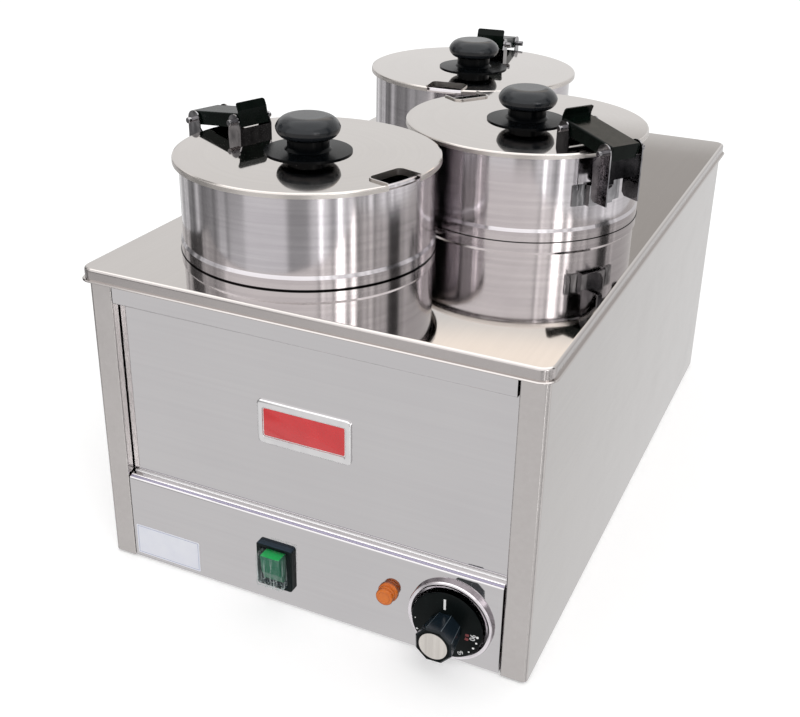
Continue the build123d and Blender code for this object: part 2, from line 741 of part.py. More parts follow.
def clevis_half():
    """Half of the distance between the clevis ears' inner faces."""
    return ARM_W / 2 + CLEVIS_SIDE_GAP


def clevis():
    """Bent clevis: two ears, a web towards the pot and a tongue stepped into the strap."""
    x_out = OUTER_PIN_X + CLEVIS_EAR_R
    x_in = OUTER_PIN_X - CLEVIS_EAR_R
    shoulder = CLEVIS_WEB_BOTTOM
    ear_line = Polyline(
        (CLEVIS_WEB_X, CLEVIS_FOOT_Z + 3),
        (CLEVIS_WEB_X + 3, CLEVIS_FOOT_Z),
        (x_out, CLEVIS_FOOT_Z),
        (x_out, OUTER_PIN_Z),
        (x_in, OUTER_PIN_Z),
        (x_in, OUTER_PIN_Z - CLEVIS_EAR_R * 0.8),
        (CLEVIS_WEB_X, CLEVIS_WEB_TOP),
        close=True,
    )
    face = make_face(ear_line) + Pos(OUTER_PIN_X, OUTER_PIN_Z) * Circle(CLEVIS_EAR_R)
    face -= Pos(OUTER_PIN_X, OUTER_PIN_Z) * Circle(PIN_R + PRESS_GAP)
    ear = Plane.XZ * extrude(face, CLEVIS_SHEET)
    inner = clevis_half()
    body = Pos(0, -inner, 0) * ear + Pos(0, inner + CLEVIS_SHEET, 0) * ear
    outer = inner + CLEVIS_SHEET
    body += box(CLEVIS_WEB_X, CLEVIS_WEB_X + CLEVIS_SHEET, -outer, outer, shoulder, CLEVIS_WEB_TOP)
    return body + clevis_tongue()


def clevis_tongue():
    """Tongue: down from the web, inwards over the strap, and down into its slot."""
    slot_x = POT_R + SLOT_GAP + CLEVIS_SHEET
    rest = STRAP_TOP + REST_GAP
    web_x = CLEVIS_WEB_X + CLEVIS_SHEET
    points = [
        (web_x, CLEVIS_WEB_BOTTOM + 1),
        (web_x, rest),
        (slot_x, rest),
        (slot_x, STRAP_TOP - TONGUE_REACH),
    ]
    line = FilletPolyline(*points, radius=0.8)
    outline = make_face(offset(line, amount=CLEVIS_SHEET, side=Side.RIGHT, closed=True))
    tongue = Plane.XZ * extrude(outline, TONGUE_W)
    return Pos(0, TONGUE_W / 2, 0) * tongue


def clevis_pin():
    """Outer pin, fixed in the clevis ears."""
    return cross_pin(PIN_R, OUTER_PIN_L, OUTER_PIN_X, OUTER_PIN_Z)


def lid_pin():
    """Inner pin, fixed in the lid bracket's ears."""
    return cross_pin(PIN_R, INNER_PIN_L, INNER_PIN_X, INNER_PIN_Z)


def arm_length():
    """Distance between the two pins."""
    return hypot(OUTER_PIN_X - INNER_PIN_X, INNER_PIN_Z - OUTER_PIN_Z)


def arm_slope():
    """Slope of the line through the two pins, in degrees, up towards the lid's middle."""
    return degrees(atan2(INNER_PIN_Z - OUTER_PIN_Z, OUTER_PIN_X - INNER_PIN_X))


def arm():
    """Inverted channel between the two pins, with a turned-down tail and a lifting tab."""
    length = arm_length()
    x0 = -length - ARM_INNER_END
    x1 = ARM_OUTER_END
    half = ARM_W / 2
    top = ARM_ABOVE
    channel = box(x0, x1, -half, half, -ARM_BELOW, top)
    long_edges = channel.edges().filter_by(Axis.X).group_by(Axis.Z)[-1]
    channel = fillet(long_edges, ARM_SHEET)
    nose_edge = channel.edges().filter_by(Axis.Y).group_by(Axis.Z)[0].sort_by(Axis.X)[-1]
    channel = fillet(nose_edge, ARM_BELOW * 0.9)
    inside = half - ARM_SHEET
    channel -= box(x0 + ARM_SHEET, x1 + 1, -inside, inside, -ARM_BELOW - 1, top - ARM_SHEET)
    tail = box(x1 - ARM_SHEET, x1, -inside + 0.4, inside - 0.4, -ARM_TAIL_DROP, top - ARM_SHEET / 2)
    bend = top + TAB_H - TAB_BAND
    lean = TAB_BAND * tan(radians(TAB_LEAN))
    line = [(x0, top - ARM_SHEET), (x0, bend), (x0 + lean, top + TAB_H)]
    line += [(x + ARM_SHEET, z) for x, z in reversed(line)]
    tab = Pos(0, half, 0) * extrude(Plane.XZ * make_face(Polyline(*line, close=True)), 2 * half)
    tab = fillet(tab.edges().filter_by(Axis.X).group_by(Axis.Z)[-1], TAB_CORNER_R)
    hole = Rot(90, 0, 0) * Cylinder(PIN_R + RUN_GAP, ARM_W * 2)
    bar = channel + tail + tab - hole - Pos(-length, 0, 0) * hole
    return Pos(OUTER_PIN_X, 0, OUTER_PIN_Z) * Rot(0, arm_slope(), 0) * bar


def lid_bracket():
    """Bracket on the lid: two ears outside the arm and a low web towards the lid's middle."""
    inner = ARM_W / 2 + BRACKET_SIDE_GAP
    outer = inner + BRACKET_SHEET
    web_x = INNER_PIN_X - BRACKET_WEB_IN
    radius = BRACKET_EAR_R
    ear_line = Polyline(
        (web_x, LID_TOP),
        (INNER_PIN_X + radius + 1, LID_TOP),
        (INNER_PIN_X + radius, INNER_PIN_Z),
        (INNER_PIN_X - radius, INNER_PIN_Z),
        (web_x, LID_TOP + BRACKET_WEB_H),
        close=True,
    )
    face = make_face(ear_line) + Pos(INNER_PIN_X, INNER_PIN_Z) * Circle(radius)
    face -= Pos(INNER_PIN_X, INNER_PIN_Z) * Circle(PIN_R + PRESS_GAP)
    ear = Plane.XZ * extrude(face, BRACKET_SHEET)
    bracket = Pos(0, -inner, 0) * ear + Pos(0, outer, 0) * ear
    return bracket + box(web_x, web_x + BRACKET_SHEET, -outer, outer, LID_TOP, LID_TOP + BRACKET_WEB_H)


def notch_outline(grow):
    """Ladle notch seen from above, made larger by a margin all round."""
    inner = NOTCH_IN_R - grow
    depth = LID_R + 10 - inner
    shape = RectangleRounded(depth, NOTCH_W + 2 * grow, NOTCH_CORNER_R + grow)
    return Pos(-inner - depth / 2, 0) * shape


def lid():
    """Pressed lid with a turned-down edge, a locating ring and a ladle notch with a rolled border."""
    under = LID_TOP - LID_SHEET
    ring_r = POT_R - POT_WALL - LID_RING_GAP
    edge_in = LID_R - LID_EDGE_WALL
    shell = revolved([
        (0, under),
        (ring_r - LID_RING_WALL, under),
        (ring_r - LID_RING_WALL, under - LID_RING_DROP),
        (ring_r, under - LID_RING_DROP),
        (ring_r, under),
        (edge_in, under),
        (edge_in, LID_TOP - LID_EDGE),
        (LID_R, LID_TOP - LID_EDGE),
        (LID_R, LID_TOP - LID_EDGE_R),
        (LID_R - LID_EDGE_R * 0.3, LID_TOP - LID_EDGE_R * 0.3),
        (LID_R - LID_EDGE_R, LID_TOP),
        (0, LID_TOP),
    ])
    low = under - LID_RING_DROP
    cut = Pos(0, 0, low - 5) * extrude(notch_outline(0), 20)
    border = notch_outline(NOTCH_WALL) - notch_outline(0)
    upper = Pos(0, 0, under) * extrude(border & Circle(edge_in), LID_SHEET + NOTCH_RISE)
    lower = Pos(0, 0, low) * extrude(border & Circle(ring_r), LID_RING_DROP + LID_SHEET)
    return shell - cut + upper + lower


def lid_knob():
    """Round knob with a wide thin guard disc at its foot."""
    base = LID_TOP
    neck_top = base + NECK_TOP
    line = Polyline(
        (CAP_R * 0.55, 0, base + CAP_TOP),
        (0, 0, base + CAP_TOP),
        (0, 0, base),
        (GUARD_R, 0, base),
        (GUARD_R, 0, base + GUARD_T * 0.6),
        (NECK_R + 2, 0, base + GUARD_T),
        (NECK_R, 0, base + GUARD_T + 2),
        (NECK_R, 0, neck_top),
    )
    under = ThreePointArc(
        (NECK_R, 0, neck_top),
        (NECK_R + (CAP_R - NECK_R) * 0.78, 0, (neck_top + base + CAP_MID) / 2 - 1),
        (CAP_R, 0, base + CAP_MID),
    )
    crown = ThreePointArc(
        (CAP_R, 0, base + CAP_MID),
        (CAP_R * 0.87, 0, base + (CAP_MID + CAP_TOP) / 2 + 0.9),
        (CAP_R * 0.55, 0, base + CAP_TOP),
    )
    return revolve(make_face([*line.edges(), under, crown]), Axis.Z)


def at_pot(name):
    """Place of one pot's own frame, hinge direction included."""
    x, y = POTS[name]
    return Pos(x, y, 0) * Rot(0, 0, HINGE_ANGLES[name])


def save(name, shape):
    """Write one piece, moved so that the footprint's middle is the origin."""
    export_step(Pos(0, Y_SHIFT, 0) * shape, os.path.join("parts", name + ".step"))


def main():
    os.makedirs("parts", exist_ok=True)
    right_side = side_panel()
    save("right_side_panel", right_side)
    save("left_side_panel", mirror(right_side, Plane.YZ))
    fixed = {
        "front_panel": front_panel,
        "control_panel": control_panel,
        "rear_panel": rear_panel,
        "bottom_plate": bottom_plate,
        "feet": feet,
        "top_deck": top_deck,
        "water_well": water_well,
        "heating_element": heating_element,
        "element_clamps": element_clamps,
        "thermostat_body": thermostat_body,
        "thermostat_bulb": thermostat_bulb,
        "terminal_block": terminal_block,
        "cable_gland": cable_gland,
        "dial_bezel": dial_bezel,
        "dial_knob": dial_knob,
        "dial_cap": dial_cap,
        "dial_spindle": dial_spindle,
        "switch_housing": switch_housing,
        "switch_rocker": switch_rocker,
        "switch_lens": switch_lens,
        "pilot_lens": pilot_lens,
        "pilot_body": pilot_body,
    }
    for name, make in fixed.items():
        save(name, make())
    set_pieces = {
        "pot": pot(),
        "strap": strap(),
        "clevis": clevis(),
        "clevis_pin": clevis_pin(),
        "arm": arm(),
        "lid_pin": lid_pin(),
        "lid_bracket": lid_bracket(),
        "lid": lid(),
        "lid_knob": lid_knob(),
    }
    for place in POTS:
        for name, piece in set_pieces.items():
            save(place + "_" + name, at_pot(place) * piece)


if __name__ == "__main__":
    main()
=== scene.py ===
"""Countertop food warmer: finishes, small dressed pieces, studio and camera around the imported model."""

import logging
import math
from dataclasses import dataclass
from enum import Enum
from functools import cached_property
from typing import Callable, Iterable, Sequence

import bmesh
import bpy
from mathutils import Matrix, Vector


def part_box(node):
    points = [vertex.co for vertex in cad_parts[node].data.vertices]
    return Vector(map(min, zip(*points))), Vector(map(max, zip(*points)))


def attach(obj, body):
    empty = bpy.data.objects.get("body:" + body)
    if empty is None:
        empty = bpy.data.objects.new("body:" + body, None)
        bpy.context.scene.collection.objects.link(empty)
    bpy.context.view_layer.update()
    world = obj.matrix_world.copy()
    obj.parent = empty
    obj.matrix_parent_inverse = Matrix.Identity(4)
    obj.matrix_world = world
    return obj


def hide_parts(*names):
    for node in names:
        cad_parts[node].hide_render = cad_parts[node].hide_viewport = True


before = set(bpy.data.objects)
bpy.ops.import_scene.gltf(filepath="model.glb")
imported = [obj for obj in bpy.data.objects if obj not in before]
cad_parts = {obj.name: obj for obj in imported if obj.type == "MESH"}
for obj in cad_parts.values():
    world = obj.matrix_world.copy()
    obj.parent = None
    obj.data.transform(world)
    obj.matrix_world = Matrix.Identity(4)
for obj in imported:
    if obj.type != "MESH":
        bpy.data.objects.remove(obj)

LOG = logging.getLogger("food_warmer")
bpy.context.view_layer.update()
NODES: dict[str, bpy.types.Object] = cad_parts
Pair = tuple[float, float]
Point = tuple[float, float, float]
Colour = tuple[float, float, float]
Mesh = bmesh.types.BMesh
Loops = list[list[bmesh.types.BMVert]]
Socket = bpy.types.NodeSocket
Ray = tuple[Socket, Socket]

MM = 0.001
WELD_REACH = 1e-6
PANEL_RECESS = 8.0 * MM
POT_NAMES = ("front", "right", "rear")
# How far the painted shadow line round each pot rises over the deck.
PAINTED_SHADOW_RISE = {"front": 0.0009, "right": 0.0003, "rear": 0.0003}
# Near black colour of the painted shadow lines.
PAINTED_SHADOW_DARK: Colour = (0.01, 0.01, 0.01)
# Dark mauve of the painted shade on upright steel faces.
UPRIGHT_PAINTED_SHADE: Colour = (0.02, 0.0, 0.03)
WHITE: Colour = (1.0, 1.0, 1.0)


class Grain(Enum):
    """Which way a steel surface was polished."""

    PLAIN = "no direction"
    ALONG_X = "along X"
    ALONG_Y = "along Y"
    UPRIGHT = "up and down"
    SPUN = "in rings round an upright axis"


class Wiring:
    """Adds nodes to one node tree and joins them."""

    def __init__(self, tree: bpy.types.NodeTree) -> None:
        """Start from an empty tree."""
        self.tree = tree
        self.tree.nodes.clear()

    def add(self, kind: str, inputs: dict | None = None, **settings: object) -> bpy.types.Node:
        """Add a node, set it up and feed its inputs.

        Args:
            kind: the node's type name.
            inputs: socket name or number to a value or to another node's output.
            settings: properties of the node itself.

        Returns:
            The new node.
        """
        node = self.tree.nodes.new(kind)
        for key, value in settings.items():
            setattr(node, key, value)
        for key, value in (inputs or {}).items():
            if isinstance(value, Socket):
                self.tree.links.new(value, node.inputs[key])
            else:
                node.inputs[key].default_value = value
        return node

    def maths(self, operation: str, *values: object) -> Socket:
        """Add a Math node over values and sockets, and return its output."""
        return self.add("ShaderNodeMath", dict(enumerate(values)), operation=operation).outputs[0]

    def split(self, vector: Socket) -> tuple[Socket, ...]:
        """Split a vector into X, Y and Z."""
        return tuple(self.add("ShaderNodeSeparateXYZ", {0: vector}).outputs)

    @cached_property
    def place(self) -> Socket:
        """The object coordinates."""
        return self.add("ShaderNodeTexCoord").outputs["Object"]

    @cached_property
    def parts(self) -> tuple[Socket, ...]:
        """X, Y and Z of the object coordinates."""
        return self.split(self.place)

    def normal(self, kind: str = "Normal") -> tuple[Socket, ...]:
        """X, Y and Z of the smooth normal, or of the flat one for "True Normal"."""
        return self.split(self.add("ShaderNodeNewGeometry").outputs[kind])

    def offsets(self, axis: Pair, other: int = 1) -> tuple[Socket, ...]:
        """Offsets from an axis that is given by its X and its Y, or its Z where other is 2."""
        return tuple(self.maths("SUBTRACT", self.parts[i], at) for i, at in zip((0, other), axis))

    def radius(self, axis: Pair, other: int = 1) -> Socket:
        """Distance from an axis.

        Args:
            axis: its X and its Y or Z.
            other: 1 where the second number is Y, 2 where it is Z.

        Returns:
            The distance's socket.
        """
        across, along = self.offsets(axis, other)
        squares = self.maths("MULTIPLY_ADD", along, along, self.maths("MULTIPLY", across, across))
        return self.maths("SQRT", squares)

    def spread(self, value: Socket, low: float, high: float, start: float = 0.3, end: float = 0.7,
               smooth: bool = False) -> Socket:
        """Map a value from start..end to low..high.

        Args:
            value: the socket to map.
            low: the result at start.
            high: the result at end.
            start: the lower end of the source range.
            end: the upper end of the source range.
            smooth: ease in and out.

        Returns:
            The mapped value's socket.
        """
        kind = "SMOOTHSTEP" if smooth else "LINEAR"
        inputs = {"Value": value, "From Min": start, "From Max": end, "To Min": low, "To Max": high}
        return self.add("ShaderNodeMapRange", inputs, interpolation_type=kind, clamp=True).outputs[0]

    def noise(self, vector: Socket, scale: float, detail: float = 2.0) -> Socket:
        """Add a noise texture and return its height."""
        inputs = {"Vector": vector, "Scale": scale, "Detail": detail}
        return self.add("ShaderNodeTexNoise", inputs).outputs["Fac"]

    def blend(self, amount: object, first: object, second: object) -> Socket:
        """Mix two colours.

        Args:
            amount: the share of the second colour, a number or a socket.
            first: a colour or a socket.
            second: a colour or a socket.

        Returns:
            The mixed colour's socket.
        """
        inputs = {0: amount, 6: first, 7: second}
        for key in (6, 7):
            if not isinstance(inputs[key], Socket):
                inputs[key] = (*inputs[key], 1.0)
        return self.add("ShaderNodeMix", inputs, data_type="RGBA").outputs[2]

    def bump(self, height: Socket, distance: float, under: Socket | None = None) -> Socket:
        """Add a bump.

        Args:
            height: the height from 0 to 1.
            distance: what a height of 1 stands for, in metres.
            under: the normal that this one is laid over.

        Returns:
            The new normal's socket.
        """
        inputs = {"Height": height, "Distance": distance, "Strength": 1.0}
        if under is not None:
            inputs["Normal"] = under
        return self.add("ShaderNodeBump", inputs).outputs[0]


@dataclass(frozen=True)
class Finish:
    """A surface finish, which its subclasses wire up."""

    name: str
    colour: Colour
    roughness: float = 0.3

    def material(self) -> bpy.types.Material:
        """Return this finish's material, made on first use."""
        title = f"{self.name}_finish"
        if title in bpy.data.materials:
            return bpy.data.materials[title]
        material = bpy.data.materials.new(title)
        material.use_nodes = True
        material.diffuse_color = (*self.colour, 1.0)
        wiring = Wiring(material.node_tree)
        shader = self.wire(wiring)
        wiring.add("ShaderNodeOutputMaterial", {"Surface": shader.outputs[0]})
        return material

    def wire(self, wiring: Wiring) -> bpy.types.Node:
        """Wire the finish and return its shader node."""
        raise NotImplementedError

    def dress(self, item: bpy.types.Object) -> None:
        """Give an object this finish all over."""
        item.data.materials.clear()
        item.data.materials.append(self.material())


@dataclass(frozen=True)
class PaintedShadow:
    """A painted shadow: a dark line painted where one part sits close on another.

    It lies level between two heights or, where axes are given, in rings between two radii.
    """

    low: float
    high: float
    soft: float = 0.0004
    axes: tuple[Pair, ...] = ()

    def mask(self, wiring: Wiring) -> Socket:
        """Where the line lies.

        Args:
            wiring: the material's wiring.

        Returns:
            1 on the line and 0 off it.
        """
        value = wiring.parts[2]
        for number, axis in enumerate(self.axes):
            radius = wiring.radius(axis)
            value = wiring.maths("MINIMUM", value, radius) if number else radius
        above = wiring.spread(value, 0.0, 1.0, self.low - self.soft, self.low)
        below = wiring.spread(value, 1.0, 0.0, self.high, self.high + self.soft)
        return wiring.maths("MULTIPLY", above, below)


@dataclass(frozen=True)
class Steel(Finish):
    """Polished stainless steel with its grain, a slight unevenness and faint smears.

    upright_haze blurs its upright faces, a painted shade darkens them, and a painted light colour
    lightens those that look at the axis.
    """

    shade: Colour = (0.5, 0.49, 0.49)
    grain: Grain = Grain.PLAIN
    grain_scale: float = 900.0
    grain_depth: float = 3e-6
    wave_scale: float = 9.0
    wave_depth: float = 1.2e-4
    smear: float = 0.05
    stretch: float = 0.0
    axis: Pair = (0.0, 0.0)
    painted_shadows: tuple[PaintedShadow, ...] = ()
    upright_haze: float = 0.0
    upright_painted_shade: float = 0.0
    inner_painted_light: Colour | None = None
    cloud_scale: float = 14.0
    haze_scale: float = 31.0
    drawn_out: float = 0.02
    turn_scale: float = 0.0015
    inside: Pair = (-0.03, -0.01)
    haze_band: Pair = (0.3, 0.9)
    shade_band: Pair = (0.55, 0.985)

    def inward(self, wiring: Wiring) -> Socket:
        """Where an upright face looks at the axis, as the inside of a pot does.

        Args:
            wiring: the material's wiring.

        Returns:
            1 on such a face and 0 elsewhere.
        """
        across, along = wiring.offsets(self.axis)
        facing = wiring.normal()
        away = wiring.maths("MULTIPLY_ADD", along, facing[1], wiring.maths("MULTIPLY", across, facing[0]))
        return wiring.spread(away, 1.0, 0.0, *self.inside)

    def grain_vector(self, wiring: Wiring) -> Socket:
        """Stretch the coordinates along the polish.

        Args:
            wiring: the material's wiring.

        Returns:
            Coordinates in which plain noise becomes fine lines.
        """
        if self.grain is Grain.SPUN:
            across, along = wiring.offsets(self.axis)
            turn = wiring.maths("MULTIPLY", wiring.maths("ARCTAN2", along, across), self.turn_scale)
            inputs = {0: wiring.radius(self.axis), 1: wiring.parts[2], 2: turn}
            return wiring.add("ShaderNodeCombineXYZ", inputs).outputs[0]
        drawn = (Grain.ALONG_X, Grain.ALONG_Y, Grain.UPRIGHT)
        scale = tuple(self.drawn_out if self.grain is way else 1.0 for way in drawn)
        return wiring.add("ShaderNodeMapping", {"Vector": wiring.place, "Scale": scale}).outputs[0]

    def wire(self, wiring: Wiring) -> bpy.types.Node:
        """Wire the steel: two tones, uneven roughness, waviness under fine grain."""
        lines = self.grain_vector(wiring)
        cloud = wiring.noise(wiring.place, self.cloud_scale, 4.0)
        streaks = wiring.noise(lines, self.grain_scale * 0.25, 3.0)
        tone = wiring.maths("MULTIPLY_ADD", streaks, 0.5, wiring.maths("MULTIPLY", cloud, 0.5))
        colour = wiring.blend(wiring.spread(tone, 0.0, 1.0, 0.35, 0.65), self.colour, self.shade)
        # Painted shadow: the colour turns near black along each shadow line.
        for shadow_line in self.painted_shadows:
            colour = wiring.blend(shadow_line.mask(wiring), colour, PAINTED_SHADOW_DARK)
        haze = wiring.noise(wiring.place, self.haze_scale, 5.0)
        rough = wiring.spread(haze, self.roughness, self.roughness + self.smear, 0.35, 0.75)
        # Painted light: faces that look at the axis, as a pot's inside does, get a much lighter colour.
        if self.inner_painted_light:
            colour = wiring.blend(self.inward(wiring), colour, self.inner_painted_light)
        if self.upright_haze or self.upright_painted_shade:
            level = wiring.maths("ABSOLUTE", wiring.normal()[2])
            rough = wiring.maths("ADD", rough, wiring.spread(level, self.upright_haze, 0.0, *self.haze_band))
            # Painted shade: upright faces are darkened towards a dark mauve.
            shaded_upright = wiring.spread(level, self.upright_painted_shade, 0.0, *self.shade_band)
            colour = wiring.blend(shaded_upright, colour, UPRIGHT_PAINTED_SHADE)
        wave = wiring.bump(wiring.noise(wiring.place, self.wave_scale, 1.0), self.wave_depth)
        normal = wiring.bump(wiring.noise(lines, self.grain_scale, 2.0), self.grain_depth, wave)
        inputs = {"Base Color": colour, "Metallic": 1.0, "Roughness": rough, "Normal": normal}
        if self.stretch:
            tangent = wiring.add("ShaderNodeTangent", direction_type="RADIAL", axis="Z").outputs[0]
            inputs |= {"Anisotropic": self.stretch, "Anisotropic Rotation": 0.25, "Tangent": tangent}
        return wiring.add("ShaderNodeBsdfPrincipled", inputs)


@dataclass(frozen=True)
class Moulding(Finish):
    """Moulded plastic, rubber, enamel or print: a fine pebble, soft mottling and a light coat."""

    shade: Colour = (0.02, 0.02, 0.02)
    gloss: float = 0.5
    pebble_scale: float = 1600.0
    pebble_depth: float = 8e-6
    coat: float = 0.0
    glow: float = 0.0
    rub: float = 0.08
    cloud_scale: float = 60.0
    rub_scale: float = 140.0

    def wire(self, wiring: Wiring) -> bpy.types.Node:
        """Wire the plastic: mottled colour, uneven gloss and a pebbled surface."""
        cloud = wiring.noise(wiring.place, self.cloud_scale, 4.0)
        rubbed = wiring.noise(wiring.place, self.rub_scale, 3.0)
        pebble = wiring.noise(wiring.place, self.pebble_scale, 2.0)
        inputs = {
            "Base Color": wiring.blend(wiring.spread(cloud, 0.0, 1.0), self.colour, self.shade),
            "Roughness": wiring.spread(rubbed, self.roughness, min(1.0, self.roughness + self.rub)),
            "Normal": wiring.bump(pebble, self.pebble_depth),
            "Specular IOR Level": self.gloss,
            "Coat Weight": self.coat,
            "Coat Roughness": 0.08,
        }
        if self.glow:
            inputs |= {"Emission Color": (*self.colour, 1.0), "Emission Strength": self.glow}
        return wiring.add("ShaderNodeBsdfPrincipled", inputs)

    def vary(self, wiring: Wiring, share: Socket, colour: Colour,
             gloss: float | None = None) -> bpy.types.Node:
        """Wire the plastic with another colour on part of it.

        Args:
            wiring: the material's wiring.
            share: 1 on that part and 0 elsewhere.
            colour: the part's colour.
            gloss: the part's gloss, where it differs.

        Returns:
            The shader node.
        """
        shader = Moulding.wire(self, wiring)
        slot = shader.inputs["Base Color"]
        wiring.tree.links.new(wiring.blend(share, slot.links[0].from_socket, colour), slot)
        if gloss is not None:
            level = wiring.spread(share, self.gloss, gloss, 0.0, 1.0)
            wiring.tree.links.new(level, shader.inputs["Specular IOR Level"])
        return shader


@dataclass(frozen=True)
class GripMoulding(Moulding):
    """Moulding of the dial: a matt printed skirt with a glossier grip in its middle, whose side faces carry a
    lighter bluish painted reflection.
    """

    grip_r: float = 0.0150
    grip_gloss: float = 0.35
    grip_painted_reflection: Colour = (0.007, 0.013, 0.019)
    grip_edge: float = 0.0004
    axis: Pair = (0.0, 0.0)

    def wire(self, wiring: Wiring) -> bpy.types.Node:
        """Wire the plastic with more gloss and a lighter painted reflection colour on the grip's side faces.
        """
        facing = wiring.maths("ABSOLUTE", wiring.normal("True Normal")[1])
        side = wiring.spread(facing, 1.0, 0.0, 0.5, 0.8)
        radius = wiring.radius(self.axis, 2)
        inside = wiring.spread(radius, 1.0, 0.0, self.grip_r, self.grip_r + self.grip_edge)
        # Painted reflection: the grip's side faces take the lighter tint.
        return self.vary(wiring, wiring.maths("MULTIPLY", side, inside), self.grip_painted_reflection, self.grip_gloss)


@dataclass(frozen=True)
class KnobMoulding(Moulding):
    """Moulding of the lid's knob: a cap painted lighter as a painted sheen, with more gloss, over a darker,
    duller black neck and guard.
    """

    cap_from: float = 0.3385
    cap_blend: float = 0.003
    cap_painted_sheen: Colour = (0.012, 0.014, 0.017)
    cap_gloss: float = 0.30

    def wire(self, wiring: Wiring) -> bpy.types.Node:
        """Wire the plastic with more gloss and a lighter painted sheen colour on the cap."""
        # Painted sheen: the cap above cap_from takes the lighter colour.
        cap = wiring.spread(wiring.parts[2], 0.0, 1.0, self.cap_from, self.cap_from + self.cap_blend, True)
        return self.vary(wiring, cap, self.cap_painted_sheen, self.cap_gloss)


@dataclass(frozen=True)
class PaintedLightMoulding(Moulding):
    """Coloured plastic with painted light: lighter where it faces up, a darker, duller painted shade on its
    upright faces, and any glow only where it faces up.
    """

    painted_shade_colour: Colour = (0.01, 0.06, 0.04)
    turn: Pair = (0.25, 0.7)

    def wire(self, wiring: Wiring) -> bpy.types.Node:
        """Wire the plastic with painted shade and no glow on its upright faces."""
        level = wiring.normal("True Normal")[2]
        # Painted shade: upright faces take the painted shade colour.
        shader = self.vary(wiring, wiring.spread(level, 1.0, 0.0, *self.turn), self.painted_shade_colour)
        # Painted light: the glow is limited to faces that look up.
        if self.glow:
            lit = wiring.spread(level, 0.0, self.glow, *self.turn)
            wiring.tree.links.new(lit, shader.inputs["Emission Strength"])
        return shader


@dataclass(frozen=True)
class TintedGlass(Moulding):
    """Tinted lens: bright amber where it is seen straight on, a darker painted shade where it turns away."""

    painted_shade_colour: Colour = (0.10, 0.015, 0.004)

    def wire(self, wiring: Wiring) -> bpy.types.Node:
        """Wire the plastic with a darker painted shade on its turned edges and in its grooves."""
        rim = wiring.add("ShaderNodeLayerWeight", {"Blend": 0.5}).outputs["Facing"]
        # Painted shade: turned faces take the painted shade colour.
        return self.vary(wiring, wiring.spread(rim, 0.0, 1.0, 0.30, 0.85), self.painted_shade_colour)


@dataclass(frozen=True)
class ClearMoulding(Finish):
    """Clear plastic: see-through in front, denser where it turns away and along its moulding streaks."""

    density: float = 0.03
    streak_density: float = 0.80
    edge_density: float = 0.28
    ripple_depth: float = 2e-5
    ripple_scale: float = 520.0
    streak_low: float = 0.020
    streak_high: float = 0.050

    def wire(self, wiring: Wiring) -> bpy.types.Node:
        """Wire the clear plastic: its density, its streaks and moulding ripples."""
        upright = wiring.add("ShaderNodeMapping", {"Vector": wiring.place, "Scale": (1.0, 1.0, 0.10)})
        ripple = wiring.noise(upright.outputs[0], self.ripple_scale, 3.0)
        fade = wiring.spread(wiring.parts[2], 1.0, 0.15, self.streak_low, self.streak_high)
        streak = wiring.maths("MULTIPLY", wiring.spread(ripple, 0.0, self.streak_density, 0.50, 0.66), fade)
        rim = wiring.add("ShaderNodeLayerWeight", {"Blend": 0.35}).outputs["Facing"]
        edge = wiring.spread(rim, 0.0, self.edge_density, 0.30, 0.85)
        return wiring.add("ShaderNodeBsdfPrincipled", {
            "Base Color": (*self.colour, 1.0),
            "Roughness": wiring.spread(ripple, self.roughness, self.roughness + 0.05),
            "Alpha": wiring.maths("ADD", wiring.maths("ADD", streak, edge), self.density),
            "Normal": wiring.bump(ripple, self.ripple_depth),
        })


def steel_spun(name: str, axis: Pair, painted_shadows: tuple[PaintedShadow, ...] = ()) -> Steel:
    """Spun steel for one pot, polished in rings round its axis, with a painted light colour on its inside."""
    return Steel(name, (0.54, 0.515, 0.53), 0.13, (0.44, 0.415, 0.435), Grain.SPUN,
                 grain_scale=1400.0, grain_depth=3e-6, wave_scale=7.0, wave_depth=6e-5,
                 smear=0.06, stretch=0.6, axis=axis, painted_shadows=painted_shadows, inner_painted_light=(0.84, 0.82, 0.81))


def steel_deck(axes: tuple[Pair, ...], hole_r: float) -> Steel:
    """Mirror polished steel of the deck, with a painted shadow ring round its holes where the pots sit and
    painted shade on its upright faces.
    """
    return Steel("deck_steel", (0.55, 0.52, 0.50), 0.03, (0.53, 0.50, 0.48), Grain.ALONG_Y,
                 grain_scale=1200.0, grain_depth=1e-6, wave_scale=5.0, wave_depth=9e-5, smear=0.035,
                 painted_shadows=(PaintedShadow(0.0, hole_r, 0.0006, axes),), upright_haze=0.14, upright_painted_shade=0.26)


def dial_black(axis: Pair) -> GripMoulding:
    """Black plastic of the dial, whose grip stands round an axis given by its X and Z."""
    return GripMoulding("dial_black", (0.002, 0.003, 0.003), 0.18, (0.004, 0.006, 0.006), 0.06,
                        pebble_scale=700.0, pebble_depth=3e-6, axis=axis)


def steel_lid(name: str, axis: Pair) -> Steel:
    """Mirror polished steel for one lid."""
    return Steel(name, (0.555, 0.52, 0.495), 0.035, (0.53, 0.495, 0.47), Grain.SPUN,
                 grain_scale=1200.0, grain_depth=1.2e-6, wave_scale=8.0, wave_depth=8e-5,
                 smear=0.03, axis=axis, upright_haze=0.25)


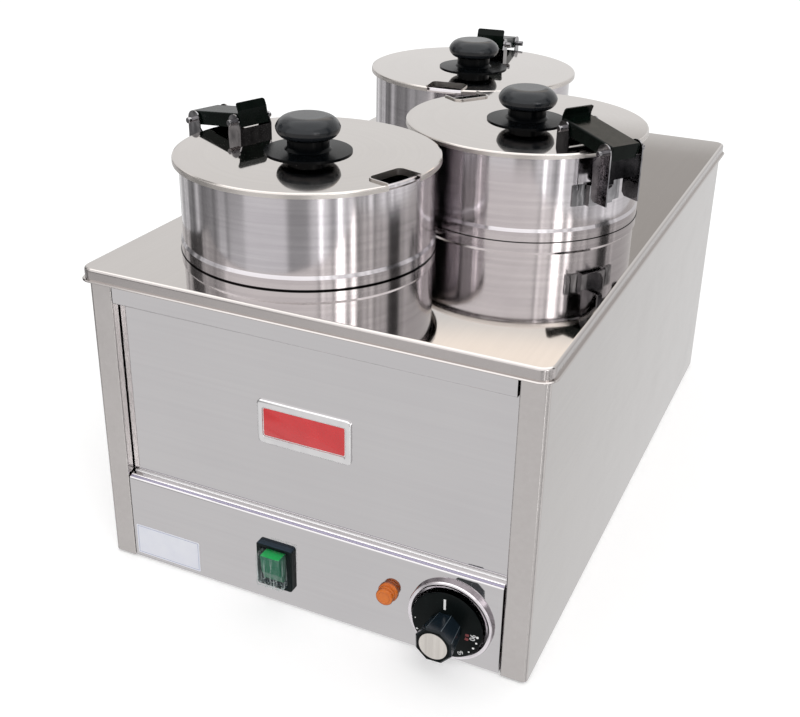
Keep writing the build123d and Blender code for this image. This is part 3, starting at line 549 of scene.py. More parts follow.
STEEL_PANEL = Steel("panel_steel", (0.515, 0.50, 0.505), 0.035, (0.495, 0.48, 0.487), Grain.ALONG_X,
                    grain_scale=1100.0, grain_depth=1e-6, wave_scale=6.0, wave_depth=1.0e-4, smear=0.03)
STEEL_SIDE = Steel("side_steel", (0.48, 0.455, 0.445), 0.11, (0.455, 0.43, 0.42), Grain.ALONG_Y,
                   grain_scale=1100.0, grain_depth=3e-6, wave_scale=5.0, wave_depth=1.2e-4, smear=0.07)
STEEL_PLAIN = Steel("plain_steel", (0.42, 0.42, 0.42), 0.28, (0.34, 0.34, 0.34), Grain.ALONG_X,
                    grain_depth=4e-6, smear=0.1)
# Mauve painted reflection for the skin over the ledge's front facet.
FACET_PAINTED_REFLECTION = Steel("facet_painted_reflection", (0.35, 0.325, 0.42), 0.48, (0.33, 0.31, 0.40), Grain.ALONG_X,
                    grain_scale=1100.0, grain_depth=1e-6, smear=0.02)
# The root fold is a little lighter than the panel, as painted light in its hollow.
FOLD_STEEL = Steel("fold_steel", (0.60, 0.59, 0.595), 0.42, (0.58, 0.57, 0.575), Grain.ALONG_X,
                   grain_depth=1e-6, wave_depth=2e-5)
# Near white painted highlight for the ledge's middle fold.
CREST_PAINTED_HIGHLIGHT = Steel("crest_painted_highlight", (0.84, 0.82, 0.83), 0.16, (0.80, 0.78, 0.79), Grain.ALONG_X,
                    grain_depth=1e-6, wave_depth=2e-5)
CHROME = Steel("bright_plating", (0.68, 0.67, 0.67), 0.05, (0.60, 0.59, 0.60), Grain.PLAIN,
               grain_scale=500.0, grain_depth=2e-6, wave_scale=60.0, wave_depth=5e-5, smear=0.05)
BEZEL_PLATING = Steel("bezel_plating", (0.74, 0.70, 0.73), 0.16, (0.64, 0.60, 0.63), Grain.PLAIN,
                      grain_scale=500.0, grain_depth=2e-6, wave_scale=60.0, wave_depth=3e-5, smear=0.06)
# Plating darkened far below CHROME, with near black mottling, as painted shade standing in for dark
# reflections.
HINGE_PLATING_PAINTED_DARK = Steel("hinge_plating_painted_dark", (0.36, 0.35, 0.36), 0.05, (0.06, 0.06, 0.065), Grain.PLAIN,
                      grain_scale=260.0, grain_depth=2e-6, wave_scale=85.0, wave_depth=2.2e-4, smear=0.05)
CAP_STEEL = Steel("cap_steel", (0.66, 0.62, 0.58), 0.16, (0.52, 0.49, 0.46), Grain.UPRIGHT,
                  grain_scale=1500.0, grain_depth=6e-6, smear=0.08)
SHEATH = Steel("element_sheath", (0.16, 0.15, 0.14), 0.45, (0.08, 0.08, 0.08), Grain.PLAIN,
               grain_depth=2e-5, smear=0.2)
COPPER = Steel("copper_bulb", (0.62, 0.30, 0.18), 0.30, (0.45, 0.20, 0.12), Grain.PLAIN,
               grain_depth=8e-6, smear=0.15)
KNOB_BLACK = KnobMoulding("knob_black", (0.001, 0.0015, 0.002), 0.20, (0.002, 0.0025, 0.003), 0.06,
                          pebble_scale=900.0, pebble_depth=1.5e-6, rub=0.02)
ARM_BLACK = Moulding("arm_enamel", (0.0008, 0.0022, 0.0014), 0.14, (0.002, 0.005, 0.0035), 0.10,
                     pebble_scale=260.0, pebble_depth=4e-6)
SWITCH_BLACK = PaintedLightMoulding("switch_black", (0.014, 0.024, 0.036), 0.30, (0.022, 0.036, 0.052), 0.10,
                           pebble_scale=1400.0, pebble_depth=8e-6, painted_shade_colour=(0.002, 0.006, 0.006))
GREEN_CORE = PaintedLightMoulding("rocker_green", (0.004, 0.34, 0.07), 0.28, (0.006, 0.42, 0.09), 0.2,
                         pebble_scale=500.0, pebble_depth=6e-6, glow=0.10, painted_shade_colour=(0.010, 0.12, 0.062))
CLEAR_LENS = ClearMoulding("clear_lens", (0.52, 0.60, 0.60), 0.05)
AMBER_LENS = TintedGlass("amber_lens", (0.52, 0.10, 0.008), 0.14, (0.78, 0.22, 0.03), 0.35,
                         pebble_scale=260.0, pebble_depth=1.2e-4)
RUBBER = Moulding("foot_rubber", (0.018, 0.018, 0.018), 0.65, (0.030, 0.029, 0.028),
                  pebble_scale=900.0, pebble_depth=3e-5)
BLOCK_PLASTIC = Moulding("block_plastic", (0.62, 0.60, 0.54), 0.45, (0.54, 0.52, 0.46))
GREY_CASE = Moulding("grey_case", (0.16, 0.16, 0.165), 0.40, (0.12, 0.12, 0.125))
RED_ENAMEL = Moulding("red_enamel", (0.62, 0.018, 0.022), 0.22, (0.54, 0.012, 0.016),
                      pebble_scale=400.0, pebble_depth=3e-6, coat=0.5)
LABEL_WHITE = Moulding("label_white", (0.74, 0.75, 0.80), 0.38, (0.69, 0.70, 0.77),
                       pebble_scale=800.0, pebble_depth=3e-6, coat=0.2)
LABEL_INK = Moulding("label_ink", (0.23, 0.26, 0.42), 0.40, (0.30, 0.33, 0.50))
# Pale painted highlight for the lines along the grip's bevels.
GRIP_EDGE_PAINTED_HIGHLIGHT = Moulding("grip_edge_painted_highlight", (0.16, 0.19, 0.21), 0.30, (0.08, 0.10, 0.11), 0.6)
MARK_WHITE = Moulding("mark_white", (0.85, 0.85, 0.84), 0.35, (0.72, 0.72, 0.72))
MARK_RED = Moulding("mark_red", (0.20, 0.015, 0.018), 0.35, (0.13, 0.01, 0.012))


def new_piece(name: str, body: str, finish: Finish, mesh: Mesh,
              smooth_angle: float = 35.0) -> bpy.types.Object:
    """Turn a bmesh into a piece that rides on a body.

    Args:
        name: the piece's name.
        body: the CAD body that carries it.
        finish: what it is made of.
        mesh: its shape, in metres; freed here.
        smooth_angle: edges sharper than this, in degrees, stay crisp.

    Returns:
        The new object.
    """
    bmesh.ops.recalc_face_normals(mesh, faces=mesh.faces)
    for edge in mesh.edges:
        sharp = len(edge.link_faces) != 2 or edge.calc_face_angle(0.0) > math.radians(smooth_angle)
        edge.smooth = not sharp
    for face in mesh.faces:
        face.smooth = True
    data = bpy.data.meshes.new(name)
    mesh.to_mesh(data)
    mesh.free()
    piece = bpy.data.objects.new(name, data)
    bpy.context.scene.collection.objects.link(piece)
    finish.dress(piece)
    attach(piece, body)
    LOG.info("piece %s: %d faces, on %s", name, len(data.polygons), body)
    return piece


def middle(name: str) -> Point:
    """The middle of a CAD node's box."""
    return tuple((low + high) / 2 for low, high in zip(*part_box(name)))


def rounded_outline(width: float, height: float, corner: float, steps: int = 6) -> list[Pair]:
    """Outline of a rectangle with round corners, anticlockwise.

    Args:
        width: full width.
        height: full height.
        corner: corner radius.
        steps: points on each corner.

    Returns:
        The points of the outline.
    """
    points = []
    for quarter, (sx, sy) in enumerate(((1, 1), (-1, 1), (-1, -1), (1, -1))):
        for step in range(steps + 1):
            turn = math.radians(90 * quarter + 90 * step / steps)
            x = sx * (width / 2 - corner) + corner * math.cos(turn)
            y = sy * (height / 2 - corner) + corner * math.sin(turn)
            points.append((x, y))
    return points


def bridge(mesh: Mesh, loops: Loops, closed: bool = False) -> None:
    """Join rings of points with faces.

    Args:
        mesh: where the faces go.
        loops: the rings, all with as many points, or with one at a tip.
        closed: join the last ring to the first; otherwise both are capped.
    """
    for lower, upper in zip(loops, loops[1:] + loops[:1] if closed else loops[1:]):
        count = max(len(lower), len(upper))
        for i in range(count):
            j = (i + 1) % count
            corners = [ring[k % len(ring)] for ring, k in ((lower, i), (lower, j), (upper, j), (upper, i))]
            mesh.faces.new(list(dict.fromkeys(corners)))
    for cap in () if closed else (loops[0][::-1], loops[-1]):
        if len(cap) > 1:
            mesh.faces.new(cap)


def add_plate(name: str, finish: Finish, place: Matrix, rings: Iterable[tuple[float, float, float, float]],
              framed: bool = False) -> None:
    """Add a plate, or a frame round an open middle, made from rounded rectangles.

    Args:
        name: the piece's name.
        finish: what it is made of.
        place: where it goes; its Z axis points to the plate's front.
        rings: width, height, corner radius and level of each rectangle, in metres.
        framed: join the last rectangle to the first.
    """
    mesh = bmesh.new()
    loops = [[mesh.verts.new(place @ Vector((x, y, level))) for x, y in rounded_outline(*sizes)]
             for *sizes, level in rings]
    bridge(mesh, loops, framed)
    new_piece(name, "housing", finish, mesh)


def front_place(x: float, y: float, z: float) -> Matrix:
    """A place on a front face: X to the right, Y up, Z towards the user."""
    turn = Matrix(((1, 0, 0, 0), (0, 0, -1, 0), (0, 1, 0, 0), (0, 0, 0, 1)))
    return Matrix.Translation((x, y, z)) @ turn


def dress_nodes(finish: Finish, *names: str) -> None:
    """Give CAD nodes a finish and report them."""
    for name in names:
        finish.dress(NODES[name])
        LOG.info("node %s: %s", name, finish.name)


@dataclass
class Badge:
    """Framed plate on the recessed panel: a bright rim round a bare red field.

    The rim's profile is how far in towards the field and how high, as shares of its width and thickness.
    """

    centre_x: float = -0.0024
    centre_z: float = 0.1557
    width: float = 0.0765
    height: float = 0.0360
    corner: float = 0.0035
    thickness: float = 0.0018
    field_width: float = 0.0672
    field_height: float = 0.0235
    overlap: float = 0.0004
    line: float = 0.0007
    line_corner: float = 0.0014
    line_rise: float = 0.0008
    red_corner: float = 0.0012
    red_base: float = 0.0006
    red_rise: float = 0.0010
    crown_in: float = 0.0006
    crown_corner: float = 0.0010
    crown_rise: float = 0.00112
    profile: tuple[Pair, ...] = (
        (0.0, 0.0), (0.0, 0.55), (0.10, 0.9), (0.22, 1.0), (0.78, 1.0), (0.92, 0.85), (1.0, 0.35), (1.0, 0.0),
    )

    def build(self) -> None:
        """Build the rim and the red field."""
        face_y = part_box("front_panel")[0][1]
        place = front_place(self.centre_x, face_y + PANEL_RECESS, self.centre_z)
        self.rim(place)
        self.plate(place)

    def rim(self, place: Matrix) -> None:
        """Build the rim with rounded shoulders round a sunk field."""
        wide, high = self.width - self.field_width, self.height - self.field_height
        rings = [(self.width - share * wide, self.height - share * high, self.corner * (1.0 - 0.6 * share),
                  rise * self.thickness) for share, rise in self.profile]
        add_plate("badge_rim", CHROME, place, rings, True)

    def plate(self, place: Matrix) -> None:
        """Build the red field, a little crowned, with a pale line round it."""
        wide, high = self.field_width + self.overlap, self.field_height + self.overlap
        rings = [(wide, high, self.line_corner, level) for level in (0.0, self.line_rise)]
        add_plate("badge_line", MARK_WHITE, place, rings)
        wide, high = wide - 2 * self.line, high - 2 * self.line
        rings = [(wide, high, self.red_corner, level) for level in (self.red_base, self.red_rise)]
        crown = (wide - self.crown_in, high - self.crown_in, self.crown_corner, self.crown_rise)
        add_plate("badge_field", RED_ENAMEL, place, [*rings, crown])


@dataclass
class Label:
    """Bare white sticker low on the control panel, with a thin printed border."""

    left: float = -0.1550
    right: float = -0.0950
    low: float = 0.0060
    high: float = 0.0335
    corner: float = 0.0012
    thickness: float = 0.00015
    border_in: float = 0.0011
    border_line: float = 0.00035
    border_corner: float = 0.0006
    ink: float = 0.00003

    def build(self) -> None:
        """Build the sticker and its border."""
        face_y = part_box("control_panel")[0][1]
        width, height = self.right - self.left, self.high - self.low
        place = front_place((self.left + self.right) / 2, face_y, (self.low + self.high) / 2)
        rings = [(width, height, self.corner, level) for level in (0.0, self.thickness)]
        add_plate("label_sheet", LABEL_WHITE, place, rings)
        outer, inner = self.border_in, self.border_in + self.border_line
        base, top = self.thickness, self.thickness + self.ink
        rings = [(width - 2 * inset, height - 2 * inset, self.border_corner, level)
                 for inset, level in ((outer, base), (outer, top), (inner, top), (inner, base))]
        add_plate("label_border", LABEL_INK, place, rings, True)


@dataclass
class DialMarks:
    """Printed marks on the dial's domed skirt.

    A bar has its clock hour, its inner and outer radius and its width, a dot its hour, its distance from
    the middle and its radius, and a number its digits, its hour, its distance and its height.
    """

    edge_r: float = 0.0262
    edge_out: float = 0.0084
    crown_r: float = 0.0124
    crown_out: float = 0.0106
    lift: float = 0.00006
    depth: float = 0.00008
    bars: tuple[tuple[float, ...], ...] = ((11.85, 0.0148, 0.0226, 0.0017), (8.15, 0.0240, 0.0256, 0.0012))
    red_bars: tuple[tuple[float, ...], ...] = ((3.18, 0.0152, 0.0178, 0.0022), (3.58, 0.0156, 0.0182, 0.0022))
    dots: tuple[Point, ...] = ((3.15, 0.0238, 0.0010), (3.58, 0.0242, 0.0008), (4.02, 0.0244, 0.0009),
                               (4.45, 0.0246, 0.0007), (8.9, 0.0240, 0.0005))
    numbers: tuple[tuple[str, float, float, float], ...] = (("90", 3.25, 0.0203, 0.0056),
                                                            ("60", 4.98, 0.0228, 0.0046))

    def out_at(self, radius: float) -> float:
        """How far the skirt stands out at a radius."""
        share = (self.edge_r - radius) / (self.edge_r - self.crown_r)
        return self.edge_out + (self.crown_out - self.edge_out) * min(1.0, max(0.0, share))

    def patch(self, outline: Sequence[Pair], place: Matrix, mesh: Mesh) -> None:
        """Add a thin raised patch that follows the dome.

        Args:
            outline: its corners on the dial's face, in metres from the middle.
            place: the dial's place.
            mesh: where the patch is added.
        """
        loops = [[mesh.verts.new(place @ Vector((x, y, self.out_at(math.hypot(x, y)) + rise)))
                  for x, y in outline] for rise in (self.lift, self.lift + self.depth)]
        bridge(mesh, loops)

    def bar(self, clock: float, r_in: float, r_out: float, width: float) -> list[Pair]:
        """Corners of a radial bar.

        Args:
            clock: the hour at which it stands.
            r_in: its inner radius.
            r_out: its outer radius.
            width: its width.

        Returns:
            Its four corners on the dial's face.
        """
        turn = math.radians(90 - 30 * clock)
        along = Vector((math.cos(turn), math.sin(turn)))
        side = Vector((-along.y, along.x)) * width / 2
        corners = (along * r_in - side, along * r_out - side, along * r_out + side, along * r_in + side)
        return [(c.x, c.y) for c in corners]

    def dot(self, clock: float, radius: float, size: float) -> list[Pair]:
        """Corners of a round dot.

        Args:
            clock: the hour at which it stands.
            radius: its distance from the middle.
            size: its own radius.

        Returns:
            Its twelve corners on the dial's face.
        """
        turn = math.radians(90 - 30 * clock)
        x, y = radius * math.cos(turn), radius * math.sin(turn)
        steps = [2 * math.pi * k / 12 for k in range(12)]
        return [(x + size * math.cos(a), y + size * math.sin(a)) for a in steps]

    def number(self, text: str, clock: float, radius: float, size: float, place: Matrix,
               mesh: Mesh) -> None:
        """Add a number whose foot points to the middle of the dial.

        Args:
            text: the digits.
            clock: the hour at which it stands.
            radius: its middle's distance from the axis.
            size: its height.
            place: the dial's place.
            mesh: where it is added.
        """
        curve = bpy.data.curves.new("digits", "FONT")
        curve.body = text
        curve.size = size
        curve.align_x = "CENTER"
        curve.align_y = "CENTER"
        curve.extrude = self.depth / 2
        holder = bpy.data.objects.new("digits", curve)
        data = bpy.data.meshes.new_from_object(holder)
        turn = math.radians(-30 * clock)
        spot = Matrix.Rotation(turn, 4, "Z") @ Matrix.Translation((0, radius, 0))
        start = len(mesh.verts)
        mesh.from_mesh(data)
        mesh.verts.ensure_lookup_table()
        for vert in mesh.verts[start:]:
            flat = spot @ vert.co
            out = self.out_at(math.hypot(flat.x, flat.y)) + self.lift + self.depth / 2
            vert.co = place @ Vector((flat.x, flat.y, out + flat.z))
        bpy.data.objects.remove(holder)
        bpy.data.curves.remove(curve)
        bpy.data.meshes.remove(data)

    def build(self) -> None:
        """Build the white marks and the red ones."""
        x, _, z = middle("dial_knob")
        place = front_place(x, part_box("control_panel")[0][1], z)
        white, red = bmesh.new(), bmesh.new()
        for outline in [self.bar(*bar) for bar in self.bars] + [self.dot(*dot) for dot in self.dots]:
            self.patch(outline, place, white)
        for number in self.numbers:
            self.number(*number, place, white)
        for bar in self.red_bars:
            self.patch(self.bar(*bar), place, red)
        new_piece("dial_white_marks", "dial", MARK_WHITE, white)
        new_piece("dial_red_mark", "dial", MARK_RED, red)


@dataclass
class LedgeFolds:
    """Folds of the ledge on the control panel and its front facet's skin, the middle fold with a painted
    highlight and the skin with a painted reflection; all sizes are millimetres.
    """

    root_r: float = 1.3
    fold_in: float = 3.6
    fold_down: float = 0.5
    fold_half: float = 0.80
    fold_out: float = 0.28
    fold_sunk: float = 0.04
    fold_lean: float = math.radians(-15.0)
    facet_slope: float = 0.5
    facet_from: float = 0.9
    facet_to: float = 2.5
    facet_skin: float = 0.05
    end_gap: float = 0.3
    buried: float = 0.1
    foot: float = 0.4
    steps: int = 8

    def strip(self, name: str, finish: Finish, points: Sequence[Pair]) -> None:
        """Run a profile along the ledge.

        Args:
            name: the piece's name.
            finish: what it is made of.
            points: the profile's corners, as Y back from the front face and Z over the ledge.
        """
        low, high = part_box("control_panel")
        mesh = bmesh.new()
        gap = self.end_gap * MM
        bridge(mesh, [[mesh.verts.new((x, low[1] + y * MM, high[2] + z * MM)) for y, z in points]
                      for x in (low[0] + gap, high[0] - gap)])
        new_piece(name, "housing", finish, mesh, 60.0)

    def build(self) -> None:
        """Build the root's hollow fold, the low round fold between the facets with its painted highlight and
        the front facet's skin with its painted reflection.
        """
        root, radius = PANEL_RECESS / MM, self.root_r
        back = root + self.buried
        turns = [math.radians(90 * k / self.steps) for k in range(self.steps + 1)]
        inner_painted_light = [(root - radius * (1 - math.cos(t)), radius * (1 - math.sin(t)) - self.buried)
                  for t in turns]
        self.strip("ledge_root_fold", FOLD_STEEL, [(back, radius), *inner_painted_light, (back, -self.foot)])
        cos, sin = math.cos(self.fold_lean), math.sin(self.fold_lean)
        arc = []
        for turn in (math.pi * k / self.steps for k in range(self.steps + 1)):
            along, out = self.fold_half * math.cos(turn), self.fold_out * math.sin(turn) - self.fold_sunk
            arc.append((self.fold_in + along * cos + out * sin, -self.fold_down - along * sin + out * cos))
        self.strip("ledge_middle_fold", CREST_PAINTED_HIGHLIGHT, arc)
        out_y, out_z = -self.facet_skin * self.facet_slope, self.facet_skin
        line = [(self.fold_in - run, -self.fold_down - run * self.facet_slope)
                for run in (self.facet_from, self.facet_to)]
        outer = [(y + out_y, z + out_z) for y, z in line]
        inner = [(y - out_y, z - out_z) for y, z in reversed(line)]
        self.strip("ledge_front_facet", FACET_PAINTED_REFLECTION, outer + inner)


@dataclass
class Housing:
    """Sheet metal box with its panels, floor, vents, feet and cable gland."""

    def build(self) -> None:
        """Dress the sheet metal and add the ledge's folds, the badge and the label."""
        dress_nodes(STEEL_SIDE, "left_side_panel", "right_side_panel")
        dress_nodes(STEEL_PANEL, "front_panel", "control_panel", "rear_panel")
        dress_nodes(STEEL_PLAIN, "bottom_plate")
        dress_nodes(RUBBER, "feet")
        dress_nodes(SWITCH_BLACK, "cable_gland")
        for part in (LedgeFolds(), Badge(), Label()):
            part.build()


@dataclass
class WellGroup:
    """Deck, water well, and the heater and thermostat under it."""

    bead_gap: float = 0.0002

    def build(self) -> None:
        """Dress the deck, the well and what hangs under it."""
        pots = [PotSet(name) for name in POT_NAMES]
        bead = max(pot.bead_radius() for pot in pots)
        # The deck gets a painted shadow ring out to just past each pot's bead.
        dress_nodes(steel_deck(tuple(pot.axis() for pot in pots), bead + self.bead_gap), "top_deck")
        dress_nodes(steel_spun("well_steel", middle("water_well")[:2]), "water_well")
        dress_nodes(SHEATH, "heating_element")
        dress_nodes(STEEL_PLAIN, "element_clamps")
        dress_nodes(COPPER, "thermostat_bulb")
        dress_nodes(GREY_CASE, "thermostat_body")
        dress_nodes(BLOCK_PLASTIC, "terminal_block")


@dataclass
class RockerLens:
    """Clear block of the rocker, cast round its green core."""

    round_off: float = 0.0005
    same_side: float = 0.0002
    flat_angle: float = math.radians(1.0)
    sharp_angle: float = math.radians(5.0)

    def build(self) -> None:
        """Build the block from the CAD lens's outer corners, with rounded edges."""
        mesh = bmesh.new()
        mesh.from_mesh(NODES["switch_lens"].data)
        bmesh.ops.remove_doubles(mesh, verts=mesh.verts, dist=WELD_REACH)
        centre = sum((vert.co for vert in mesh.verts), Vector()) / len(mesh.verts)
        reach = max((vert.co - centre).x for vert in mesh.verts)
        inner = [v for v in mesh.verts if abs(abs((v.co - centre).x) - reach) > self.same_side]
        bmesh.ops.delete(mesh, geom=inner, context="VERTS")
        hull = bmesh.ops.convex_hull(mesh, input=mesh.verts)
        bmesh.ops.delete(mesh, geom=hull["geom_interior"] + hull["geom_unused"], context="VERTS")
        bmesh.ops.dissolve_limit(mesh, angle_limit=self.flat_angle, verts=mesh.verts, edges=mesh.edges)
        sharp = [edge for edge in mesh.edges if edge.calc_face_angle(0.0) > self.sharp_angle]
        bmesh.ops.bevel(mesh, geom=sharp, offset=self.round_off, segments=3, profile=0.5, affect="EDGES")
        piece = new_piece("rocker_lens", "rocker", CLEAR_LENS, mesh)
        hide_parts("switch_lens")


@dataclass
class PilotLens:
    """Amber lamp lens with its flange, grooves and ribbed nose.

    The profile is radius and distance out, in millimetres.
    """

    steps: int = 40
    profile: tuple[Pair, ...] = (
        (0.0, 0.0), (7.8, 0.0), (7.8, 1.3), (7.45, 2.0), (6.9, 2.2), (6.2, 2.5), (6.1, 2.9), (6.75, 3.3),
        (6.8, 4.3), (6.5, 4.8), (6.05, 5.0), (6.1, 5.4), (6.7, 5.8), (6.75, 7.0), (6.4, 7.7), (5.8, 8.0),
        (4.6, 8.0), (4.3, 7.7), (0.0, 7.5),
    )

    def build(self) -> None:
        """Build the lens round the CAD lamp's axis."""
        x, _, z = middle("pilot_lens")
        place = front_place(x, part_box("pilot_lens")[1][1], z)
        mesh = bmesh.new()
        loops = []
        for radius, out in self.profile:
            turns = [2 * math.pi * k / self.steps for k in range(self.steps if radius else 1)]
            points = [(radius * MM * math.cos(t), radius * MM * math.sin(t), out * MM) for t in turns]
            loops.append([mesh.verts.new(place @ Vector(point)) for point in points])
        bridge(mesh, loops)
        piece = new_piece("pilot_lamp_lens", "housing", AMBER_LENS, mesh)
        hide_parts("pilot_lens")


@dataclass
class GripEdges:
    """Pale lines along the long edges of the dial's grip: painted highlights where its bevels catch the
    light.
    """

    reach: float = 0.0156
    narrow: float = 0.0012
    long: float = 0.005
    side_on: float = 0.6
    half: float = 0.00018
    lift: float = 0.00005
    short: float = 0.0004

    def is_edge(self, face: bmesh.types.BMFace, x: float, z: float) -> bool:
        """Tell whether a face is one of the grip's narrow bevels.

        Args:
            face: a face of the knob.
            x: the dial axis's X.
            z: the dial axis's Z.

        Returns:
            True for a long narrow face on the grip's side.
        """
        longest = max(edge.calc_length() for edge in face.edges)
        width = 2 * face.calc_area() / longest
        centre = face.calc_center_median()
        near = math.hypot(centre.x - x, centre.z - z) < self.reach
        return near and longest > self.long and width < self.narrow and abs(face.normal.y) < self.side_on

    def line(self, start: Vector, end: Vector, axis: Vector, mesh: Mesh) -> None:
        """Add one thin flat bar.

        Args:
            start: its inner end.
            end: its outer end.
            axis: a point of the dial's axis.
            mesh: where it is added.
        """
        along = (end - start).normalized()
        outward = (start + end) / 2 - axis
        outward = (outward - along * outward.dot(along)).normalized()
        side = along.cross(outward) * self.half
        square = [side * across + outward * self.lift * out
                  for across, out in ((-1, -1), (1, -1), (1, 1), (-1, 1))]
        bridge(mesh, [[mesh.verts.new(point + corner) for corner in square]
                      for point in (start + along * self.short, end - along * self.short)])

    def build(self) -> None:
        """Run a bar down the middle of each bevel."""
        x, _, z = middle("dial_knob")
        knob, bars = bmesh.new(), bmesh.new()
        knob.from_mesh(NODES["dial_knob"].data)
        bmesh.ops.remove_doubles(knob, verts=knob.verts, dist=WELD_REACH)
        other = [face for face in knob.faces if not self.is_edge(face, x, z)]
        bmesh.ops.delete(knob, geom=other, context="FACES")
        left = dict.fromkeys(knob.verts)
        while left:
            group = [left.popitem()[0]]
            for vert in group:
                near = [edge.other_vert(vert) for edge in vert.link_edges]
                group += [other for other in near if other in left]
                left = {other: None for other in left if other not in near}
            levels = [vert.co.y for vert in group]
            ends = [[vert.co for vert in group if abs(vert.co.y - level) < self.short]
                    for level in (max(levels), min(levels))]
            start, end = (sum(points, Vector()) / len(points) for points in ends)
            if (end - start).length > self.long:
                self.line(start, end, Vector((x, (start.y + end.y) / 2, z)), bars)
        knob.free()
        new_piece("dial_grip_edges", "dial", GRIP_EDGE_PAINTED_HIGHLIGHT, bars)


@dataclass
class Controls:
    """Dial, rocker switch and pilot lamp."""

    def build(self) -> None:
        """Dress the controls and print the dial."""
        dress_nodes(BEZEL_PLATING, "dial_bezel")
        dress_nodes(dial_black(middle("dial_knob")[::2]), "dial_knob")
        dress_nodes(CAP_STEEL, "dial_cap")
        dress_nodes(STEEL_PLAIN, "dial_spindle")
        dress_nodes(SWITCH_BLACK, "switch_housing")
        dress_nodes(GREEN_CORE, "switch_rocker")
        dress_nodes(GREY_CASE, "pilot_body")
        for part in (RockerLens(), PilotLens(), GripEdges(), DialMarks()):
            part.build()


@dataclass
class PotSet:
    """One pot with its strap, clevis, arm, lid and knob."""

    name: str
    bead_rise: float = 0.0006
    bead_band: float = 0.0007
    shadow_drop: float = 0.002

    def axis(self) -> Pair:
        """Where the pot's upright axis stands."""
        return middle(f"{self.name}_pot")[:2]

    def bead_radius(self) -> float:
        """How far from its axis the pot's bead touches the deck."""
        x, y = self.axis()
        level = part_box("top_deck")[1][2] + self.bead_rise
        near = [v.co for v in NODES[f"{self.name}_pot"].data.vertices if abs(v.co.z - level) < self.bead_band]
        return max(math.hypot(co.x - x, co.y - y) for co in near)

    def build(self) -> None:
        """Dress the whole set."""
        axis = self.axis()
        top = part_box("top_deck")[1][2]
        # A painted shadow line round the pot where its bead sits on the deck.
        painted_shadows = (PaintedShadow(top - self.shadow_drop, top + PAINTED_SHADOW_RISE[self.name]),)
        dress_nodes(steel_spun(f"{self.name}_pot_steel", axis, painted_shadows), f"{self.name}_pot")
        dress_nodes(steel_lid(f"{self.name}_lid_steel", axis), f"{self.name}_lid")
        # The plated hinge parts take the plating darkened as painted shade.
        bright = ("strap", "clevis", "clevis_pin", "lid_bracket", "lid_pin")
        dress_nodes(HINGE_PLATING_PAINTED_DARK, *[f"{self.name}_{part}" for part in bright])
        dress_nodes(ARM_BLACK, f"{self.name}_arm")
        dress_nodes(KNOB_BLACK, f"{self.name}_lid_knob")


@dataclass(frozen=True)
class Card:
    """A bright or dark area of the room that polished steel shows.

    Azimuth is 0 behind the object and grows to the right; angles are degrees.
    """

    azimuth: float
    half_width: float
    low: float
    high: float
    level: float
    warmth: float = 0.0
    soft: float = 3.0

    def colour(self) -> Colour:
        """The card's colour, a little warm or cool."""
        return (self.level * (1 + self.warmth), self.level, self.level * (1 - self.warmth))

    def mask(self, wiring: Wiring, ray: Ray) -> Socket:
        """Where the card covers the room.

        Args:
            wiring: the world's wiring.
            ray: the azimuth and the elevation that are looked at.

        Returns:
            1 on the card, 0 off it, eased at its edges.
        """
        angles = (self.azimuth, self.half_width, self.low, self.high, self.soft / 2)
        azimuth, half, low, high, ease = (math.radians(angle) for angle in angles)
        off = wiring.maths("WRAP", wiring.maths("SUBTRACT", ray[0], azimuth), math.pi, -math.pi)
        across = wiring.spread(wiring.maths("ABSOLUTE", off), 1.0, 0.0, half - ease, half + ease, True)
        above = wiring.spread(ray[1], 0.0, 1.0, low - ease, low + ease, True)
        below = wiring.spread(ray[1], 1.0, 0.0, high - ease, high + ease, True)
        return wiring.maths("MULTIPLY", across, wiring.maths("MULTIPLY", above, below))


@dataclass(frozen=True)
class Streaks:
    """Narrow upright stripes over part of the room, which round walls show as fine lines.

    The seed keeps one set of stripes different from another.
    """

    area: Card
    fineness: float
    dark: float
    bright: float
    seed: float
    lean: float = 0.02

    def over(self, wiring: Wiring, ray: Ray, shade: Socket) -> Socket:
        """Lay the stripes over the room's colour.

        Args:
            wiring: the world's wiring.
            ray: the azimuth and the elevation that are looked at.
            shade: the colour under them.

        Returns:
            The striped colour's socket.
        """
        lean = wiring.maths("MULTIPLY", ray[1], self.lean)
        line = wiring.add("ShaderNodeCombineXYZ", {0: ray[0], 1: lean, 2: self.seed}).outputs[0]
        level = wiring.spread(wiring.noise(line, self.fineness, 3.0), self.dark, self.bright, 0.38, 0.62)
        change = wiring.maths("SUBTRACT", level, 1.0)
        factor = wiring.maths("MULTIPLY_ADD", change, self.area.mask(wiring, ray), 1.0)
        scaled = wiring.add("ShaderNodeVectorMath", {0: shade, "Scale": factor}, operation="SCALE")
        return scaled.outputs[0]


